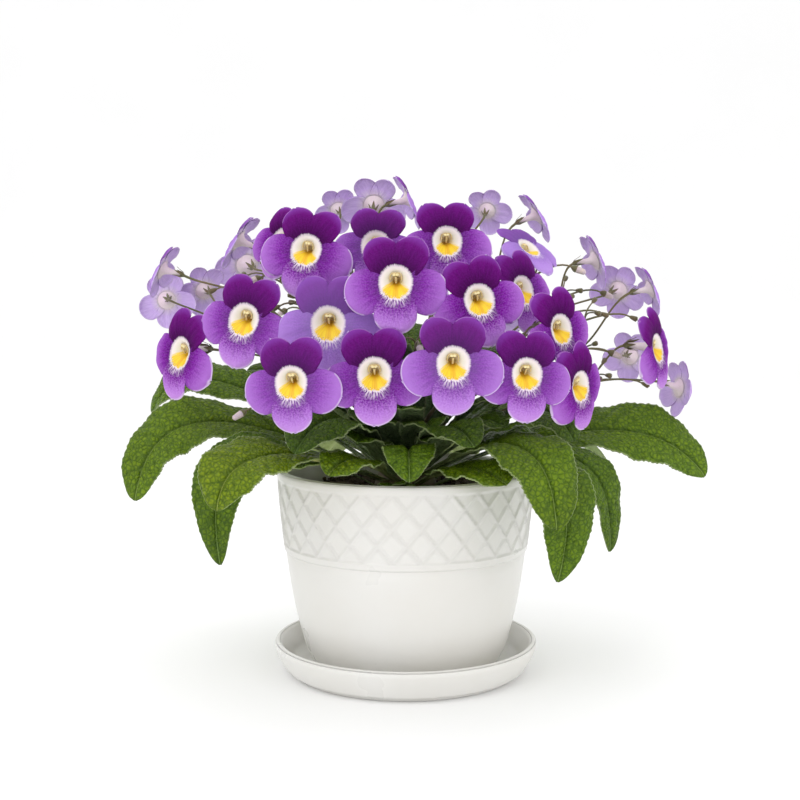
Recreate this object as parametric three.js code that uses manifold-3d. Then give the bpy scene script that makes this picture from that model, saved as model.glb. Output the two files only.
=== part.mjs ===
// A streptocarpus (Cape primrose) in flower, in a glazed white pot that stands in its saucer.
//
// Millimetres, +Z up. The origin is the middle of the saucer's underside, on the pot's axis.
// -Y is the plant's front. A bearing is turned about +Z from the front: 0 is the front, 90 the right (+X).
//
// The pot, saucer and soil are turned profiles. Each leaf is a thin waved blade along its midrib, each bloom is one
// thin five-lobed sheet with its tube, and the crown carries every flower stalk, fork, calyx, bud and young leaf.
import * as THREE from "three";
import { mergeVertices } from "three/addons/utils/BufferGeometryUtils.js";
import Module from "manifold-3d";

const wasm = await Module();
wasm.setup();

// ---------------------------------------------------------------- driving dimensions

const GAP = 0.3; // between pieces that only rest on or in each other

const SAUCER = {
  footRadius: 59,
  bodyRadius: 61.8,
  rimRadius: 68.5,
  height: 17.5,
  wall: 4.5,
  floor: 4,
  footHeight: 2.5,
  sides: 32,
};
const POT = { rimRadius: 66, height: 102, wall: 4.5, floor: 5, footRadius: 46.5, footHeight: 2, footWidth: 7, drain: 6 };
const BAND = { bottom: 65, net: [68, 101.6], proud: 0.8, relief: 0.9, diamonds: 29, netRows: 4, cell: 0.84 };
const SOIL = { top: 94, crownHole: 17.6, crownDepth: 12, hummock: 0.9, sides: 29 };
const CROWN = { radius: 17, shoulder: 12, top: 110, sides: 16 };

const POT_FOOT = SAUCER.floor; // height of the surface that the pot stands on
const POT_RIM = POT_FOOT + POT.height;

const LEAF = { thickness: 0.8, petiole: 2.6, petioleShare: 0.12, toothDepth: 0.09 };
const BLOOM = { throat: 7.2, throatDepth: 4.5, petal: 0.72, tubeEnd: 14.8, tubeEndRadius: 1.3, small: 0.8, smallest: 0.7 };
const STALK = { foot: 1.3, fork: 0.9, pedicel: 0.65, sides: 4, steps: 4, pedicelSteps: 2 };
const CALYX = { cup: 2.6, cupRadius: 1.7, sepal: 5.2, sepals: 5 };

const COLOURS = {
  glaze: { color: 0xf1f0ea, roughness: 0.32, metalness: 0 },
  soil: { color: 0x2b211a, roughness: 0.95, metalness: 0 },
  leaf: { color: 0x4c7a1e, roughness: 0.6, metalness: 0 },
  stalk: { color: 0x66703a, roughness: 0.6, metalness: 0 },
  petal: { color: 0x8a3fb0, roughness: 0.55, metalness: 0 },
};

// ---------------------------------------------------------------- the plant's pieces, one line each

// Leaves: bearing and swing (the tip's bearing less the base's), height of the base on the crown, the shoulder that
// the midrib bends round and the tip, each as distance from the axis and height, then half width, roll, and taper, which is low for a blunt blade.
// prettier-ignore
const LEAVES = [
  { name: "leaf_01", bearing: -45, swing: -2, base: 101, shoulder: [118, 142], tip: [119, 97], half: 19, roll: -24, taper: 0.6 },
  { name: "leaf_02", bearing: -69, swing: 5, base: 97, shoulder: [116, 154], tip: [101, 64], half: 15, roll: -50, taper: 0.6 },
  { name: "leaf_03", bearing: -85, swing: 4, base: 101, shoulder: [130, 166], tip: [138, 92], half: 18, roll: -50, taper: 0.5 },
  { name: "leaf_04", bearing: -107, swing: 5, base: 104, shoulder: [126, 180], tip: [139, 131], half: 15, roll: -40, taper: 0.5 },
  { name: "leaf_05", bearing: -31, swing: -3, base: 105, shoulder: [66, 158], tip: [92, 123], half: 17, roll: -20, taper: 0.55 },
  { name: "leaf_06", bearing: -20, swing: -7, base: 101, shoulder: [72, 128], tip: [80, 112], half: 13, roll: -16, taper: 0.6 },
  { name: "leaf_07", bearing: 1, swing: 0, base: 101, shoulder: [64, 140], tip: [78, 110], half: 13, roll: 0, taper: 0.55 },
  { name: "leaf_08", bearing: 16, swing: 6, base: 106, shoulder: [62, 148], tip: [83, 126], half: 13, roll: 16, taper: 0.5 },
  { name: "leaf_09", bearing: 24, swing: 6, base: 99.5, shoulder: [66, 122], tip: [92, 109], half: 15, roll: 14, taper: 0.5 },
  { name: "leaf_10", bearing: 37, swing: 2, base: 103.5, shoulder: [108, 154], tip: [109, 89], half: 18, roll: 20, taper: 0.5 },
  { name: "leaf_11", bearing: 50, swing: -4, base: 97, shoulder: [122, 142], tip: [99, 61], half: 17, roll: 26, taper: 0.6 },
  { name: "leaf_12", bearing: 54, swing: 2, base: 107, shoulder: [84, 162], tip: [96, 126], half: 15, roll: 24, taper: 0.5 },
  { name: "leaf_13", bearing: 74, swing: -4, base: 98, shoulder: [112, 146], tip: [107, 69], half: 14, roll: 26, taper: 0.6 },
  { name: "leaf_14", bearing: 87, swing: 3, base: 103, shoulder: [124, 150], tip: [155, 101], half: 19, roll: 52, taper: 0.6 },
  { name: "leaf_15", bearing: 114, swing: 4, base: 99, shoulder: [88, 150], tip: [132, 92], half: 18, roll: 8, taper: 0.55 },
  { name: "leaf_16", bearing: 137, swing: -4, base: 103, shoulder: [80, 160], tip: [126, 112], half: 17, roll: -8, taper: 0.6 },
  { name: "leaf_17", bearing: 159, swing: 5, base: 98, shoulder: [84, 138], tip: [116, 72], half: 17, roll: 6, taper: 0.55 },
  { name: "leaf_18", bearing: 181, swing: -4, base: 103, shoulder: [78, 158], tip: [126, 106], half: 18, roll: 8, taper: 0.6 },
  { name: "leaf_19", bearing: 205, swing: 3, base: 98, shoulder: [86, 140], tip: [118, 78], half: 17, roll: -8, taper: 0.55 },
  { name: "leaf_20", bearing: 230, swing: -3, base: 102, shoulder: [86, 156], tip: [130, 98], half: 18, roll: 8, taper: 0.6 },
];

// Young leaves grow fused to the crown.
// prettier-ignore
const YOUNG_LEAVES = [
  { bearing: -8, swing: 0, base: 96, shoulder: [40, 104], tip: [58, 105], half: 8, roll: 6, taper: 0.55 },
  { bearing: 9, swing: -3, base: 95.5, shoulder: [40, 103], tip: [60, 104], half: 7, roll: -6, taper: 0.55 },
  { bearing: 100, swing: 4, base: 105, shoulder: [34, 142], tip: [56, 140], half: 10, roll: 8, taper: 0.55 },
  { bearing: 192, swing: -6, base: 106, shoulder: [34, 146], tip: [54, 144], half: 11, roll: -8, taper: 0.55 },
  { bearing: -74, swing: 4, base: 106, shoulder: [36, 144], tip: [56, 146], half: 10, roll: -8, taper: 0.55 },
];

// Blooms: the middle of the throat, the way the face looks (bearing and pitch above the horizon), its roll and size.
// prettier-ignore
const BLOOMS = [
  { name: "bloom_01", at: [-47, -59, 217], bearing: -10, pitch: 12, roll: -9, size: 1.03 },
  { name: "bloom_02", at: [-15, -38, 220], bearing: -6, pitch: 18, roll: -4, size: 0.97 },
  { name: "bloom_03", at: [-5, -84, 202], bearing: -3, pitch: 8, roll: 0, size: 1.08 },
  { name: "bloom_04", at: [19, -62, 221], bearing: 6, pitch: 14, roll: 2, size: 0.98 },
  { name: "bloom_05", at: [33, -81, 194], bearing: 12, pitch: 8, roll: 14, size: 1.0 },
  { name: "bloom_06", at: [-76, -64, 184.5], bearing: -18, pitch: 8, roll: -12, size: 1.06 },
  { name: "bloom_07", at: [-36, -76, 183], bearing: -7, pitch: 4, roll: 0, size: 1.12 },
  { name: "bloom_08", at: [-51.5, -97, 157.5], bearing: -10, pitch: 4, roll: 2, size: 1.03 },
  { name: "bloom_09", at: [-14.5, -93, 161], bearing: -2, pitch: 6, roll: 2, size: 1.06 },
  { name: "bloom_10", at: [20.5, -103, 166.5], bearing: 4, pitch: 6, roll: 0, size: 1.05 },
  { name: "bloom_11", at: [54, -92, 161], bearing: 14, pitch: 6, roll: -2, size: 1.0 },
  { name: "bloom_12", at: [-109, -46, 168], bearing: -44, pitch: 8, roll: -14, size: 1.06 },
  { name: "bloom_13", at: [56, -47, 198], bearing: 41, pitch: 10, roll: 13, size: 0.97 },
  { name: "bloom_14", at: [72, -68, 180.2], bearing: 40, pitch: 8, roll: 13, size: 0.97 },
  { name: "bloom_15", at: [80.5, -74, 154], bearing: 50, pitch: 0, roll: 20, size: 0.98 },
  { name: "bloom_16", at: [127.5, -12, 168.5], bearing: 60, pitch: 8, roll: 20, size: 1.0 },
  { name: "bloom_17", at: [-61, -30, 222], bearing: -34, pitch: 18, roll: -10, size: 0.9 },
  { name: "bloom_18", at: [-17, 42, 243], bearing: 178, pitch: 26, roll: 4, size: 0.8 },
  { name: "bloom_19", at: [-37, 56, 241], bearing: -170, pitch: 24, roll: -6, size: 0.62 },
  { name: "bloom_20", at: [2, 12, 244], bearing: 98, pitch: 24, roll: 0, size: 0.72 },
  { name: "bloom_21", at: [44, 42, 240], bearing: 172, pitch: 26, roll: -8, size: 0.62 },
  { name: "bloom_22", at: [68, 10, 236], bearing: 98, pitch: 32, roll: 0, size: 0.68 },
  { name: "bloom_23", at: [116, 44, 197], bearing: 150, pitch: 16, roll: 6, size: 0.72 },
  { name: "bloom_24", at: [61, -20, 219], bearing: 44, pitch: 48, roll: 0, size: 0.85 },
  { name: "bloom_25", at: [100, 20, 213], bearing: 104, pitch: 20, roll: -4, size: 0.72 },
  { name: "bloom_26", at: [127, 8, 198], bearing: 98, pitch: 22, roll: 4, size: 0.66 },
  { name: "bloom_27", at: [123, 46, 161], bearing: 160, pitch: 6, roll: 6, size: 0.66 },
  { name: "bloom_28", at: [144, 14, 146], bearing: 110, pitch: -6, roll: -8, size: 0.7 },
  { name: "bloom_29", at: [-124, -6, 208], bearing: -98, pitch: 26, roll: 0, size: 0.68 },
  { name: "bloom_30", at: [-108, 32, 197], bearing: -160, pitch: 16, roll: 6, size: 0.66 },
  { name: "bloom_31", at: [-126, 20, 192], bearing: -165, pitch: 8, roll: -6, size: 0.68 },
  { name: "bloom_32", at: [-87, 8, 223], bearing: -98, pitch: 32, roll: 0, size: 0.76 },
  { name: "bloom_33", at: [-89, 66, 211], bearing: -160, pitch: 18, roll: 4, size: 0.85 },
  { name: "bloom_34", at: [-2, 84, 208], bearing: 178, pitch: 16, roll: 0, size: 0.98 },
  { name: "bloom_35", at: [48, 92, 184], bearing: 158, pitch: 10, roll: 6, size: 0.98 },
  { name: "bloom_36", at: [-44, 94, 176], bearing: -162, pitch: 8, roll: -4, size: 1.0 },
];

// Flower stalks: the blooms that each one carries, how far up the way to them it forks, and what else grows there:
// a bud, or a calyx whose flower has dropped.
// prettier-ignore
const SPRAYS = [
  { blooms: [1, 17], fork: 0.74, bud: true },
  { blooms: [3, 2], fork: 0.72 },
  { blooms: [4, 5], fork: 0.74, spent: true },
  { blooms: [6, 12], fork: 0.72, bud: true },
  { blooms: [7, 8], fork: 0.7 },
  { blooms: [9], fork: 0.78, bud: true },
  { blooms: [10, 11], fork: 0.74 },
  { blooms: [13], fork: 0.7 },
  { blooms: [14, 15], fork: 0.7, spent: true },
  { blooms: [16, 28], fork: 0.74, spent: true },
  { blooms: [18, 20], fork: 0.76 },
  { blooms: [19, 33], fork: 0.76, bud: true },
  { blooms: [21, 34], fork: 0.76 },
  { blooms: [22, 24], fork: 0.78, spent: true },
  { blooms: [23, 25], fork: 0.76, bud: true },
  { blooms: [26, 27], fork: 0.76, spent: true },
  { blooms: [29, 32], fork: 0.76, bud: true },
  { blooms: [30, 31], fork: 0.76, spent: true },
  { blooms: [35], fork: 0.78, bud: true },
  { blooms: [36], fork: 0.78, bud: true },
];

// ---------------------------------------------------------------- shared helpers

const rad = THREE.MathUtils.degToRad;
const UP = new THREE.Vector3(0, 0, 1);

// The horizontal direction at a bearing, and the point at a distance along it.
const outward = (bearing) => new THREE.Vector3(Math.sin(rad(bearing)), -Math.cos(rad(bearing)), 0);
const polar = (bearing, reach, height) => outward(bearing).multiplyScalar(reach).setZ(height);

function geometryOf(points, triangles) {
  const geometry = new THREE.BufferGeometry().setFromPoints(points);
  geometry.setIndex(triangles.flat());
  geometry.computeVertexNormals();
  return geometry;
}

function solidOf(geometry) {
  const bare = new THREE.BufferGeometry().setAttribute("position", geometry.getAttribute("position").clone());
  bare.setIndex(geometry.index);
  const merged = mergeVertices(bare, 1e-4);
  return new wasm.Manifold(
    new wasm.Mesh({
      numProp: 3,
      vertProperties: new Float32Array(merged.attributes.position.array),
      triVerts: new Uint32Array(merged.index.array),
    }),
  );
}

function geometryOfSolid(solid) {
  const mesh = solid.getMesh();
  const geometry = new THREE.BufferGeometry();
  geometry.setAttribute("position", new THREE.BufferAttribute(new Float32Array(mesh.vertProperties), 3));
  geometry.setIndex(new THREE.BufferAttribute(new Uint32Array(mesh.triVerts), 1));
  geometry.computeVertexNormals();
  return geometry;
}

function meshOf(name, geometry, finish) {
  const mesh = new THREE.Mesh(geometry, new THREE.MeshStandardMaterial(COLOURS[finish]));
  mesh.name = name;
  return mesh;
}

// A closed solid through rings of equal counts of points. Each ring runs counterclockwise as seen from the last one.
function loft(rings) {
  const count = rings[0].length;
  const triangles = [];
  for (let i = 0; i + 1 < rings.length; i++)
    for (let j = 0; j < count; j++) {
      const a = i * count + j;
      const b = i * count + ((j + 1) % count);
      triangles.push([a, b, b + count], [a, b + count, a + count]);
    }
  const last = (rings.length - 1) * count;
  for (let j = 1; j + 1 < count; j++) triangles.push([0, j + 1, j], [last, last + j, last + j + 1]);
  return geometryOf(rings.flat(), triangles);
}

// A thin solid between two sheets that share one triangulation. rim lists the sheet's outline counterclockwise, as
// seen from the upper sheet.
function shell(upper, lower, triangles, rim) {
  const n = upper.length;
  const faces = [...triangles, ...triangles.map(([a, b, c]) => [a + n, c + n, b + n])];
  rim.forEach((a, i) => {
    const b = rim[(i + 1) % rim.length];
    faces.push([a, b + n, b], [a, a + n, b + n]);
  });
  return geometryOf([...upper, ...lower], faces);
}

// Fills the strip between two rows of vertex numbers that both run the same way. The first row lies to the left.
function stitch(left, right) {
  const faces = [];
  let i = 0;
  let j = 0;
  while (i + 1 < left.length || j + 1 < right.length) {
    const leftNext = (i + 1) / (left.length - 1);
    const rightNext = (j + 1) / (right.length - 1);
    if (j + 1 >= right.length || (i + 1 < left.length && leftNext <= rightNext)) {
      faces.push([left[i], right[j], left[i + 1]]);
      i += 1;
    } else {
      faces.push([left[i], right[j], right[j + 1]]);
      j += 1;
    }
  }
  return faces;
}

const turned = (profile, sides) =>
  new THREE.LatheGeometry(
    profile.map(([r, z]) => new THREE.Vector2(r, z)),
    sides,
  ).rotateX(Math.PI / 2);

// ---------------------------------------------------------------- saucer

function saucer() {
  const { footRadius, bodyRadius, rimRadius, height, wall, floor, footHeight } = SAUCER;
  const flare = (rimRadius - bodyRadius) / (height - footHeight);
  const inner = (z) => bodyRadius + flare * (z - footHeight) - wall;
  const profile = [
    [0, 0],
    [footRadius - 1, 0],
    [footRadius, 0.8],
    [footRadius + 0.2, footHeight - 0.6],
    [bodyRadius + 0.6, footHeight],
    [rimRadius - 1.8, height * 0.56],
    [rimRadius, height - 2.6],
    [rimRadius - 0.7, height - 0.8],
    [rimRadius - 2, height],
    [rimRadius - 3.4, height - 0.7],
    [inner(height - 4), height - 4],
    [inner(floor + 3), floor + 3],
    [inner(floor) - 3, floor],
    [0, floor],
  ];
  return meshOf("saucer", turned(profile, SAUCER.sides), "glaze");
}

// ---------------------------------------------------------------- pot

// The pot's outer wall: it swells gently from the foot to the rim.
const POT_OUTLINE = new THREE.SplineCurve(
  [
    [POT.footRadius, POT_FOOT],
    [49.6, 8.5],
    [55.2, 25],
    [59.4, 45],
    [62.2, BAND.bottom],
    [64.4, 85],
    [POT.rimRadius, POT_RIM],
  ].map(([r, z]) => new THREE.Vector2(r, z)),
);

// The wall's radius at a height, read off the outline.
const OUTLINE_POINTS = POT_OUTLINE.getPoints(120);
function potRadius(z) {
  const above = OUTLINE_POINTS.findIndex((p) => p.y >= z);
  if (above <= 0) return OUTLINE_POINTS.at(above === 0 ? 0 : -1).x;
  const [a, b] = [OUTLINE_POINTS[above - 1], OUTLINE_POINTS[above]];
  return THREE.MathUtils.mapLinear(z, a.y, b.y, a.x, b.x);
}

// The pot is one closed skin: a foot ring, the smooth body, the proud band with its raised net, the rim, the inside
// and the drain hole. Every row has a vertex at each half diamond of the net.
function pot() {
  const columns = 2 * BAND.diamonds;
  const points = [];
  const faces = [];
  const add = (column, r, z) => points.push(polar((column * 180) / BAND.diamonds, r, z)) - 1;
  const row = (r, z) => Array.from({ length: columns }, (_, j) => add(j, r, z));
  const coarse = (r, z) => Array.from({ length: BAND.diamonds }, (_, j) => add(2 * j, r, z));
  const wrap = (j) => (j + columns) % columns;
  const join = (a, b) =>
    a.forEach((_, j) => {
      const k = (j + 1) % a.length;
      if (a.length === b.length) faces.push([a[j], a[k], b[k]], [a[j], b[k], b[j]]);
      else if (a.length < b.length) {
        faces.push([a[j], b[2 * j + 1], b[2 * j]], [a[j], a[k], b[2 * j + 1]], [a[k], b[2 * k], b[2 * j + 1]]);
      } else if (j % 2 === 0) {
        const [low, high] = [b[j / 2], b[(j / 2 + 1) % b.length]];
        faces.push([a[j], a[k], low], [a[k], high, low], [a[k], a[wrap(j + 2)], high]);
      }
    });
  const chain = (...rows) => rows.slice(1).forEach((next, i) => join(rows[i], next));

  const [netBottom, netTop] = BAND.net;
  const rowHeight = (netTop - netBottom) / BAND.netRows;
  const ridge = (k) => potRadius(netBottom + k * rowHeight) + BAND.proud;
  const net = Array.from({ length: BAND.netRows + 1 }, (_, k) =>
    Array.from({ length: columns }, (_, j) => {
      const border = k === 0 || k === BAND.netRows;
      return border || (j + k) % 2 === 1 ? add(j, ridge(k), netBottom + k * rowHeight) : null;
    }),
  );
  // A cell's floor lies inside its corners, drawn in to the cell's middle and sunk by the relief.
  const sink = (corners) => {
    const middle = corners.reduce((sum, c) => sum.add(points[c]), new THREE.Vector3()).divideScalar(corners.length);
    return corners.map((c) => {
      const p = middle.clone().lerp(points[c], BAND.cell);
      const { z } = p;
      return points.push(p.setZ(0).setLength(potRadius(z) + BAND.proud - BAND.relief).setZ(z)) - 1;
    });
  };
  for (let k = 0; k <= BAND.netRows; k++)
    for (let j = 0; j < columns; j++) {
      if ((j + k) % 2 === 1) continue;
      const [left, right] = [net[k][wrap(j - 1)], net[k][wrap(j + 1)]];
      const below = k > 0 ? net[k - 1][j] : null;
      const above = k < BAND.netRows ? net[k + 1][j] : null;
      const corners = [left, below, right, above].filter((c) => c !== null);
      const floor = sink(corners);
      corners.forEach((c, i) => {
        const n = (i + 1) % corners.length;
        const onBorder = corners.length === 3 && ![c, corners[n]].includes(below ?? above);
        if (onBorder) faces.push([c, net[k][j], floor[i]], [net[k][j], corners[n], floor[n]], [net[k][j], floor[n], floor[i]]);
        else faces.push([c, corners[n], floor[n]], [c, floor[n], floor[i]]);
      });
      for (let i = 1; i + 1 < floor.length; i++) faces.push([floor[0], floor[i], floor[i + 1]]);
    }

  const inside = (z) => potRadius(z) - POT.wall;
  const innerFoot = POT.footRadius - POT.footWidth;
  const floorTop = POT_FOOT + POT.floor;
  const outerFoot = coarse(POT.footRadius - 0.6, POT_FOOT);
  const outside = [
    coarse(POT.footRadius + 0.6, POT_FOOT + 1),
    ...[8.5, 25, 45].map((z) => coarse(potRadius(z), z)),
    row(potRadius(BAND.bottom - 1), BAND.bottom - 1),
    row(potRadius(BAND.bottom) + BAND.proud, BAND.bottom + 0.4),
  ];
  chain(outerFoot, ...outside, net[0]);
  const within = [
    row(POT.rimRadius + 0.6, POT_RIM - 1.6),
    row(POT.rimRadius - 1.2, POT_RIM),
    coarse(POT.rimRadius - 3.4, POT_RIM - 0.3),
    coarse(inside(POT_RIM - 5), POT_RIM - 5),
    coarse(inside(50), 50),
    coarse(inside(20), 20),
    coarse(inside(floorTop + 2) - 2, floorTop),
    coarse(POT.drain, floorTop),
    coarse(POT.drain, POT_FOOT + POT.footHeight),
    coarse(innerFoot - 1, POT_FOOT + POT.footHeight),
    coarse(innerFoot, POT_FOOT),
    outerFoot,
  ];
  chain(net[BAND.netRows], ...within);
  return meshOf("pot", geometryOf(points, faces), "glaze");
}

// ---------------------------------------------------------------- soil

// Potting soil fills the pot to 12 mm below the rim, with a plain hole that the crown stands in.
function soil() {
  const floorTop = POT_FOOT + POT.floor;
  const inside = (z) => potRadius(z) - POT.wall - GAP;
  const profile = [
    [0, floorTop],
    [inside(floorTop + 2) - 2.6, floorTop],
    [inside(20) - 0.4, 20],
    [inside(50) - 0.3, 50],
    [inside(SOIL.top - 2), SOIL.top - 2],
    [48, SOIL.top],
    [32, SOIL.top],
    [SOIL.crownHole + GAP, SOIL.top + 0.5],
    [SOIL.crownHole + GAP, SOIL.top - SOIL.crownDepth],
    [0, SOIL.top - SOIL.crownDepth],
  ];
  const geometry = turned(profile, SOIL.sides);
  const position = geometry.getAttribute("position");
  for (let i = 0; i < position.count; i++) {
    const [x, y, z] = [position.getX(i), position.getY(i), position.getZ(i)];
    const lies = z > SOIL.top - 1 && Math.hypot(x, y) > SOIL.crownHole + 2;
    if (lies) position.setZ(i, z + SOIL.hummock * Math.sin(x * 0.21) * Math.cos(y * 0.26));
  }
  return meshOf("soil", geometry, "soil");
}

// ---------------------------------------------------------------- leaves

// Half width of the blade at a share s of the leaf's length: a short petiole, widest past the middle, a blunt tip.
function bladeWidth(s, half, taper) {
  const b = THREE.MathUtils.clamp((s - LEAF.petioleShare) / (1 - LEAF.petioleShare), 0, 1);
  return half * Math.max(0, Math.sin(Math.PI * b ** 1.12)) ** taper;
}

// The leaf as a surface: at(s, t) is the point at share s of the midrib and t from -1 to 1 across, with its normal.
function leafSurface({ bearing, swing, base, shoulder, tip, half, roll, taper }, baseReach) {
  const midrib = new THREE.QuadraticBezierCurve3(
    polar(bearing, baseReach, base),
    polar(bearing + swing * 0.4, ...shoulder),
    polar(bearing + swing, ...tip),
  );
  const fold = 0.3;
  const droop = 0.24;
  const waves = 3.1;
  return (s, t) => {
    const along = midrib.getTangent(s);
    const level = outward(bearing + swing * s).cross(UP);
    const side = level.addScaledVector(along, -level.dot(along)).normalize();
    side.applyAxisAngle(along, rad(roll * Math.sin((s * Math.PI) / 2)));
    const normal = side.clone().cross(along).normalize();
    const width = Math.max(bladeWidth(s, half, taper), LEAF.petiole * (1 - s * 0.75));
    const edge = Math.abs(t);
    const swell = 0.1 * edge * edge * bladeWidth(s, half, taper);
    const wave = swell * Math.sin(s * 2 * Math.PI * waves + (t > 0 ? 0 : 2.1) + bearing);
    const lift = width * (fold * edge - droop * edge * edge) + wave;
    return {
      point: midrib.getPoint(s).addScaledVector(side, t * width).addScaledVector(normal, lift),
      normal,
    };
  };
}

// A closed thin blade. Both margins have a vertex at every tooth and every gap between teeth; the rows inside have
// half as many.
function leafGeometry(leaf, baseReach, steps = 10) {
  const surface = leafSurface(leaf, baseReach);
  const upper = [];
  const lower = [];
  const add = (s, t) => {
    const { point, normal } = surface(s, t);
    upper.push(point.clone().addScaledVector(normal, LEAF.thickness / 2));
    lower.push(point.clone().addScaledVector(normal, -LEAF.thickness / 2));
    return upper.length - 1;
  };
  const row = (t, every, tooth) =>
    Array.from({ length: steps / every + 1 }, (_, i) => {
      const inBlade = i * every > 1 && i * every < steps;
      return add((i * every) / steps, t * (tooth && inBlade && i % 2 ? 1 - LEAF.toothDepth : 1));
    });
  const rows = [row(-1, 1, true), row(-0.5, 2), row(0, 2), row(0.5, 2), row(1, 1, true)];
  const faces = rows.slice(1).flatMap((next, i) => stitch(rows[i], next));
  const [firsts, lasts] = [rows.map((r) => r[0]), rows.map((r) => r.at(-1))];
  const rim = [...firsts, ...rows[4].slice(1, -1), ...lasts.reverse(), ...rows[0].slice(1, -1).reverse()];
  return shell(upper, lower, faces, rim);
}

// The crown's flank at a height, where leaves spring from.
const crownReach = (z) =>
  THREE.MathUtils.mapLinear(z, SOIL.top, CROWN.top, CROWN.radius, CROWN.shoulder);

const leaves = () =>
  LEAVES.map((leaf) => meshOf(leaf.name, leafGeometry(leaf, crownReach(leaf.base) + GAP + 0.3), "leaf"));

// ---------------------------------------------------------------- blooms

// Five lobes round the throat: two upper, two lateral, one below. turn is the direction from the throat's middle,
// reach the distance to the lobe's own middle, along and across its half sizes, drop how far its tip bends back.
const LOBES = [
  { turn: 62, reach: 12.1, along: 8.0, across: 7.4, crown: 0.9, drop: 3.0 },
  { turn: 118, reach: 12.1, along: 8.0, across: 7.4, crown: 0.9, drop: 3.0 },
  { turn: 197, reach: 12.8, along: 7.9, across: 9.3, crown: 1.0, drop: 3.6 },
  { turn: 270, reach: 13.1, along: 8.8, across: 8.8, crown: 1.2, drop: 2.4 },
  { turn: 343, reach: 12.8, along: 7.9, across: 9.3, crown: 1.0, drop: 3.6 },
];
// Where two lobes part, after each lobe in the same order.
const NOTCHES = [
  { turn: 90, reach: 14.8 },
  { turn: 157, reach: 13.4 },
  { turn: 234, reach: 13.6 },
  { turn: 306, reach: 13.6 },
  { turn: 383, reach: 13.4 },
];
const LOBE_POINTS = { near: 3, small: 2 }; // round the outside of a lobe, between its notches

// The tube's middle line behind the face: [up, back] and its radius. It leans up, so that the face looks up a little.
const TUBE = [
  { up: 0.9, back: 5.6, radius: 3 },
  { up: 3.4, back: BLOOM.tubeEnd, radius: BLOOM.tubeEndRadius },
];

const spoke = (turn, reach, z = 0) => new THREE.Vector3(Math.cos(rad(turn)) * reach, Math.sin(rad(turn)) * reach, z);

// How far in front of the throat's rim a point of a lobe's outline lies.
function lobeDepth(lobe, reach) {
  const out = (reach - BLOOM.throat) / (lobe.reach + lobe.along - BLOOM.throat);
  return -0.2 - lobe.drop * out * out;
}

// A lobe's outline from the notch before it to the notch after it, both left out, as an ellipse about its middle.
function lobeOutline(lobe, before, after, count) {
  const middle = spoke(lobe.turn, lobe.reach);
  const angleOf = (notch) => {
    const p = spoke(notch.turn, notch.reach).sub(middle).applyAxisAngle(UP, -rad(lobe.turn));
    return Math.atan2(p.y / lobe.across, p.x / lobe.along);
  };
  const [from, to] = [angleOf(before), angleOf(after)];
  return Array.from({ length: count }, (_, i) => {
    const angle = THREE.MathUtils.lerp(from, to, (i + 1) / (count + 1));
    const p = new THREE.Vector3(Math.cos(angle) * lobe.along, Math.sin(angle) * lobe.across, 0);
    p.applyAxisAngle(UP, rad(lobe.turn)).add(middle);
    return p.setZ(lobeDepth(lobe, p.length()));
  });
}

// The corolla in its own frame: the throat's rim is in the plane z = 0, +z looks out of the flower and +y is up.
function bloomGeometry(lobePoints, petal) {
  const front = [];
  const faces = [];
  const rim = [];
  const add = (p) => front.push(p) - 1;
  const throat = LOBES.map((lobe, i) => ({
    start: add(spoke(NOTCHES[(i + 4) % 5].turn, BLOOM.throat)),
    middle: add(spoke(lobe.turn, BLOOM.throat)),
  }));
  const notches = NOTCHES.map(({ turn, reach }) => add(spoke(turn, reach, -0.9)));
  LOBES.forEach((lobe, i) => {
    const [before, after] = [(i + 4) % 5, i];
    const arc = lobeOutline(lobe, NOTCHES[before], NOTCHES[after], lobePoints).map(add);
    const centre = add(spoke(lobe.turn, lobe.reach, lobe.crown));
    const ring = [notches[before], ...arc, notches[after], throat[(i + 1) % 5].start, throat[i].middle, throat[i].start];
    ring.forEach((a, j) => faces.push([centre, a, ring[(j + 1) % ring.length]]));
    rim.push(notches[before], ...arc);
  });
  const mouth = throat.flatMap(({ start, middle }) => [start, middle]);
  const back = front.map((p) => p.clone().setZ(p.z - petal));
  mouth.forEach((i) => back[i].multiplyScalar(0.95).setZ(-petal - 0.3));

  // Front and back sheets with the petals' edge between them; the throat's cone in front and the tube behind.
  const n = front.length;
  const points = [...front, ...back];
  const triangles = [...faces, ...faces.map(([a, b, c]) => [a + n, c + n, b + n])];
  rim.forEach((a, i) => {
    const b = rim[(i + 1) % rim.length];
    triangles.push([a, b + n, b], [a, a + n, b + n]);
  });
  const deep = points.push(new THREE.Vector3(0, 0.5, -BLOOM.throatDepth)) - 1;
  mouth.forEach((a, i) => triangles.push([deep, a, mouth[(i + 1) % mouth.length]]));
  const tubeRings = TUBE.map(({ up, back: z, radius }) =>
    throat.map((_, i) => points.push(spoke(NOTCHES[(i + 4) % 5].turn, radius, -z).add(new THREE.Vector3(0, up, 0))) - 1),
  );
  throat.forEach(({ start, middle }, i) => {
    const next = throat[(i + 1) % 5].start + n;
    const [a, b] = [tubeRings[0][i], tubeRings[0][(i + 1) % 5]];
    triangles.push([start + n, a, middle + n], [middle + n, a, b], [middle + n, b, next]);
  });
  tubeRings.slice(1).forEach((ring, r) =>
    ring.forEach((c, i) => {
      const [a, b, d] = [tubeRings[r][i], tubeRings[r][(i + 1) % 5], ring[(i + 1) % 5]];
      triangles.push([a, c, d], [a, d, b]);
    }),
  );
  const end = tubeRings.at(-1);
  for (let i = 1; i + 1 < end.length; i++) triangles.push([end[0], end[i + 1], end[i]]);
  return geometryOf(points, triangles);
}

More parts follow.
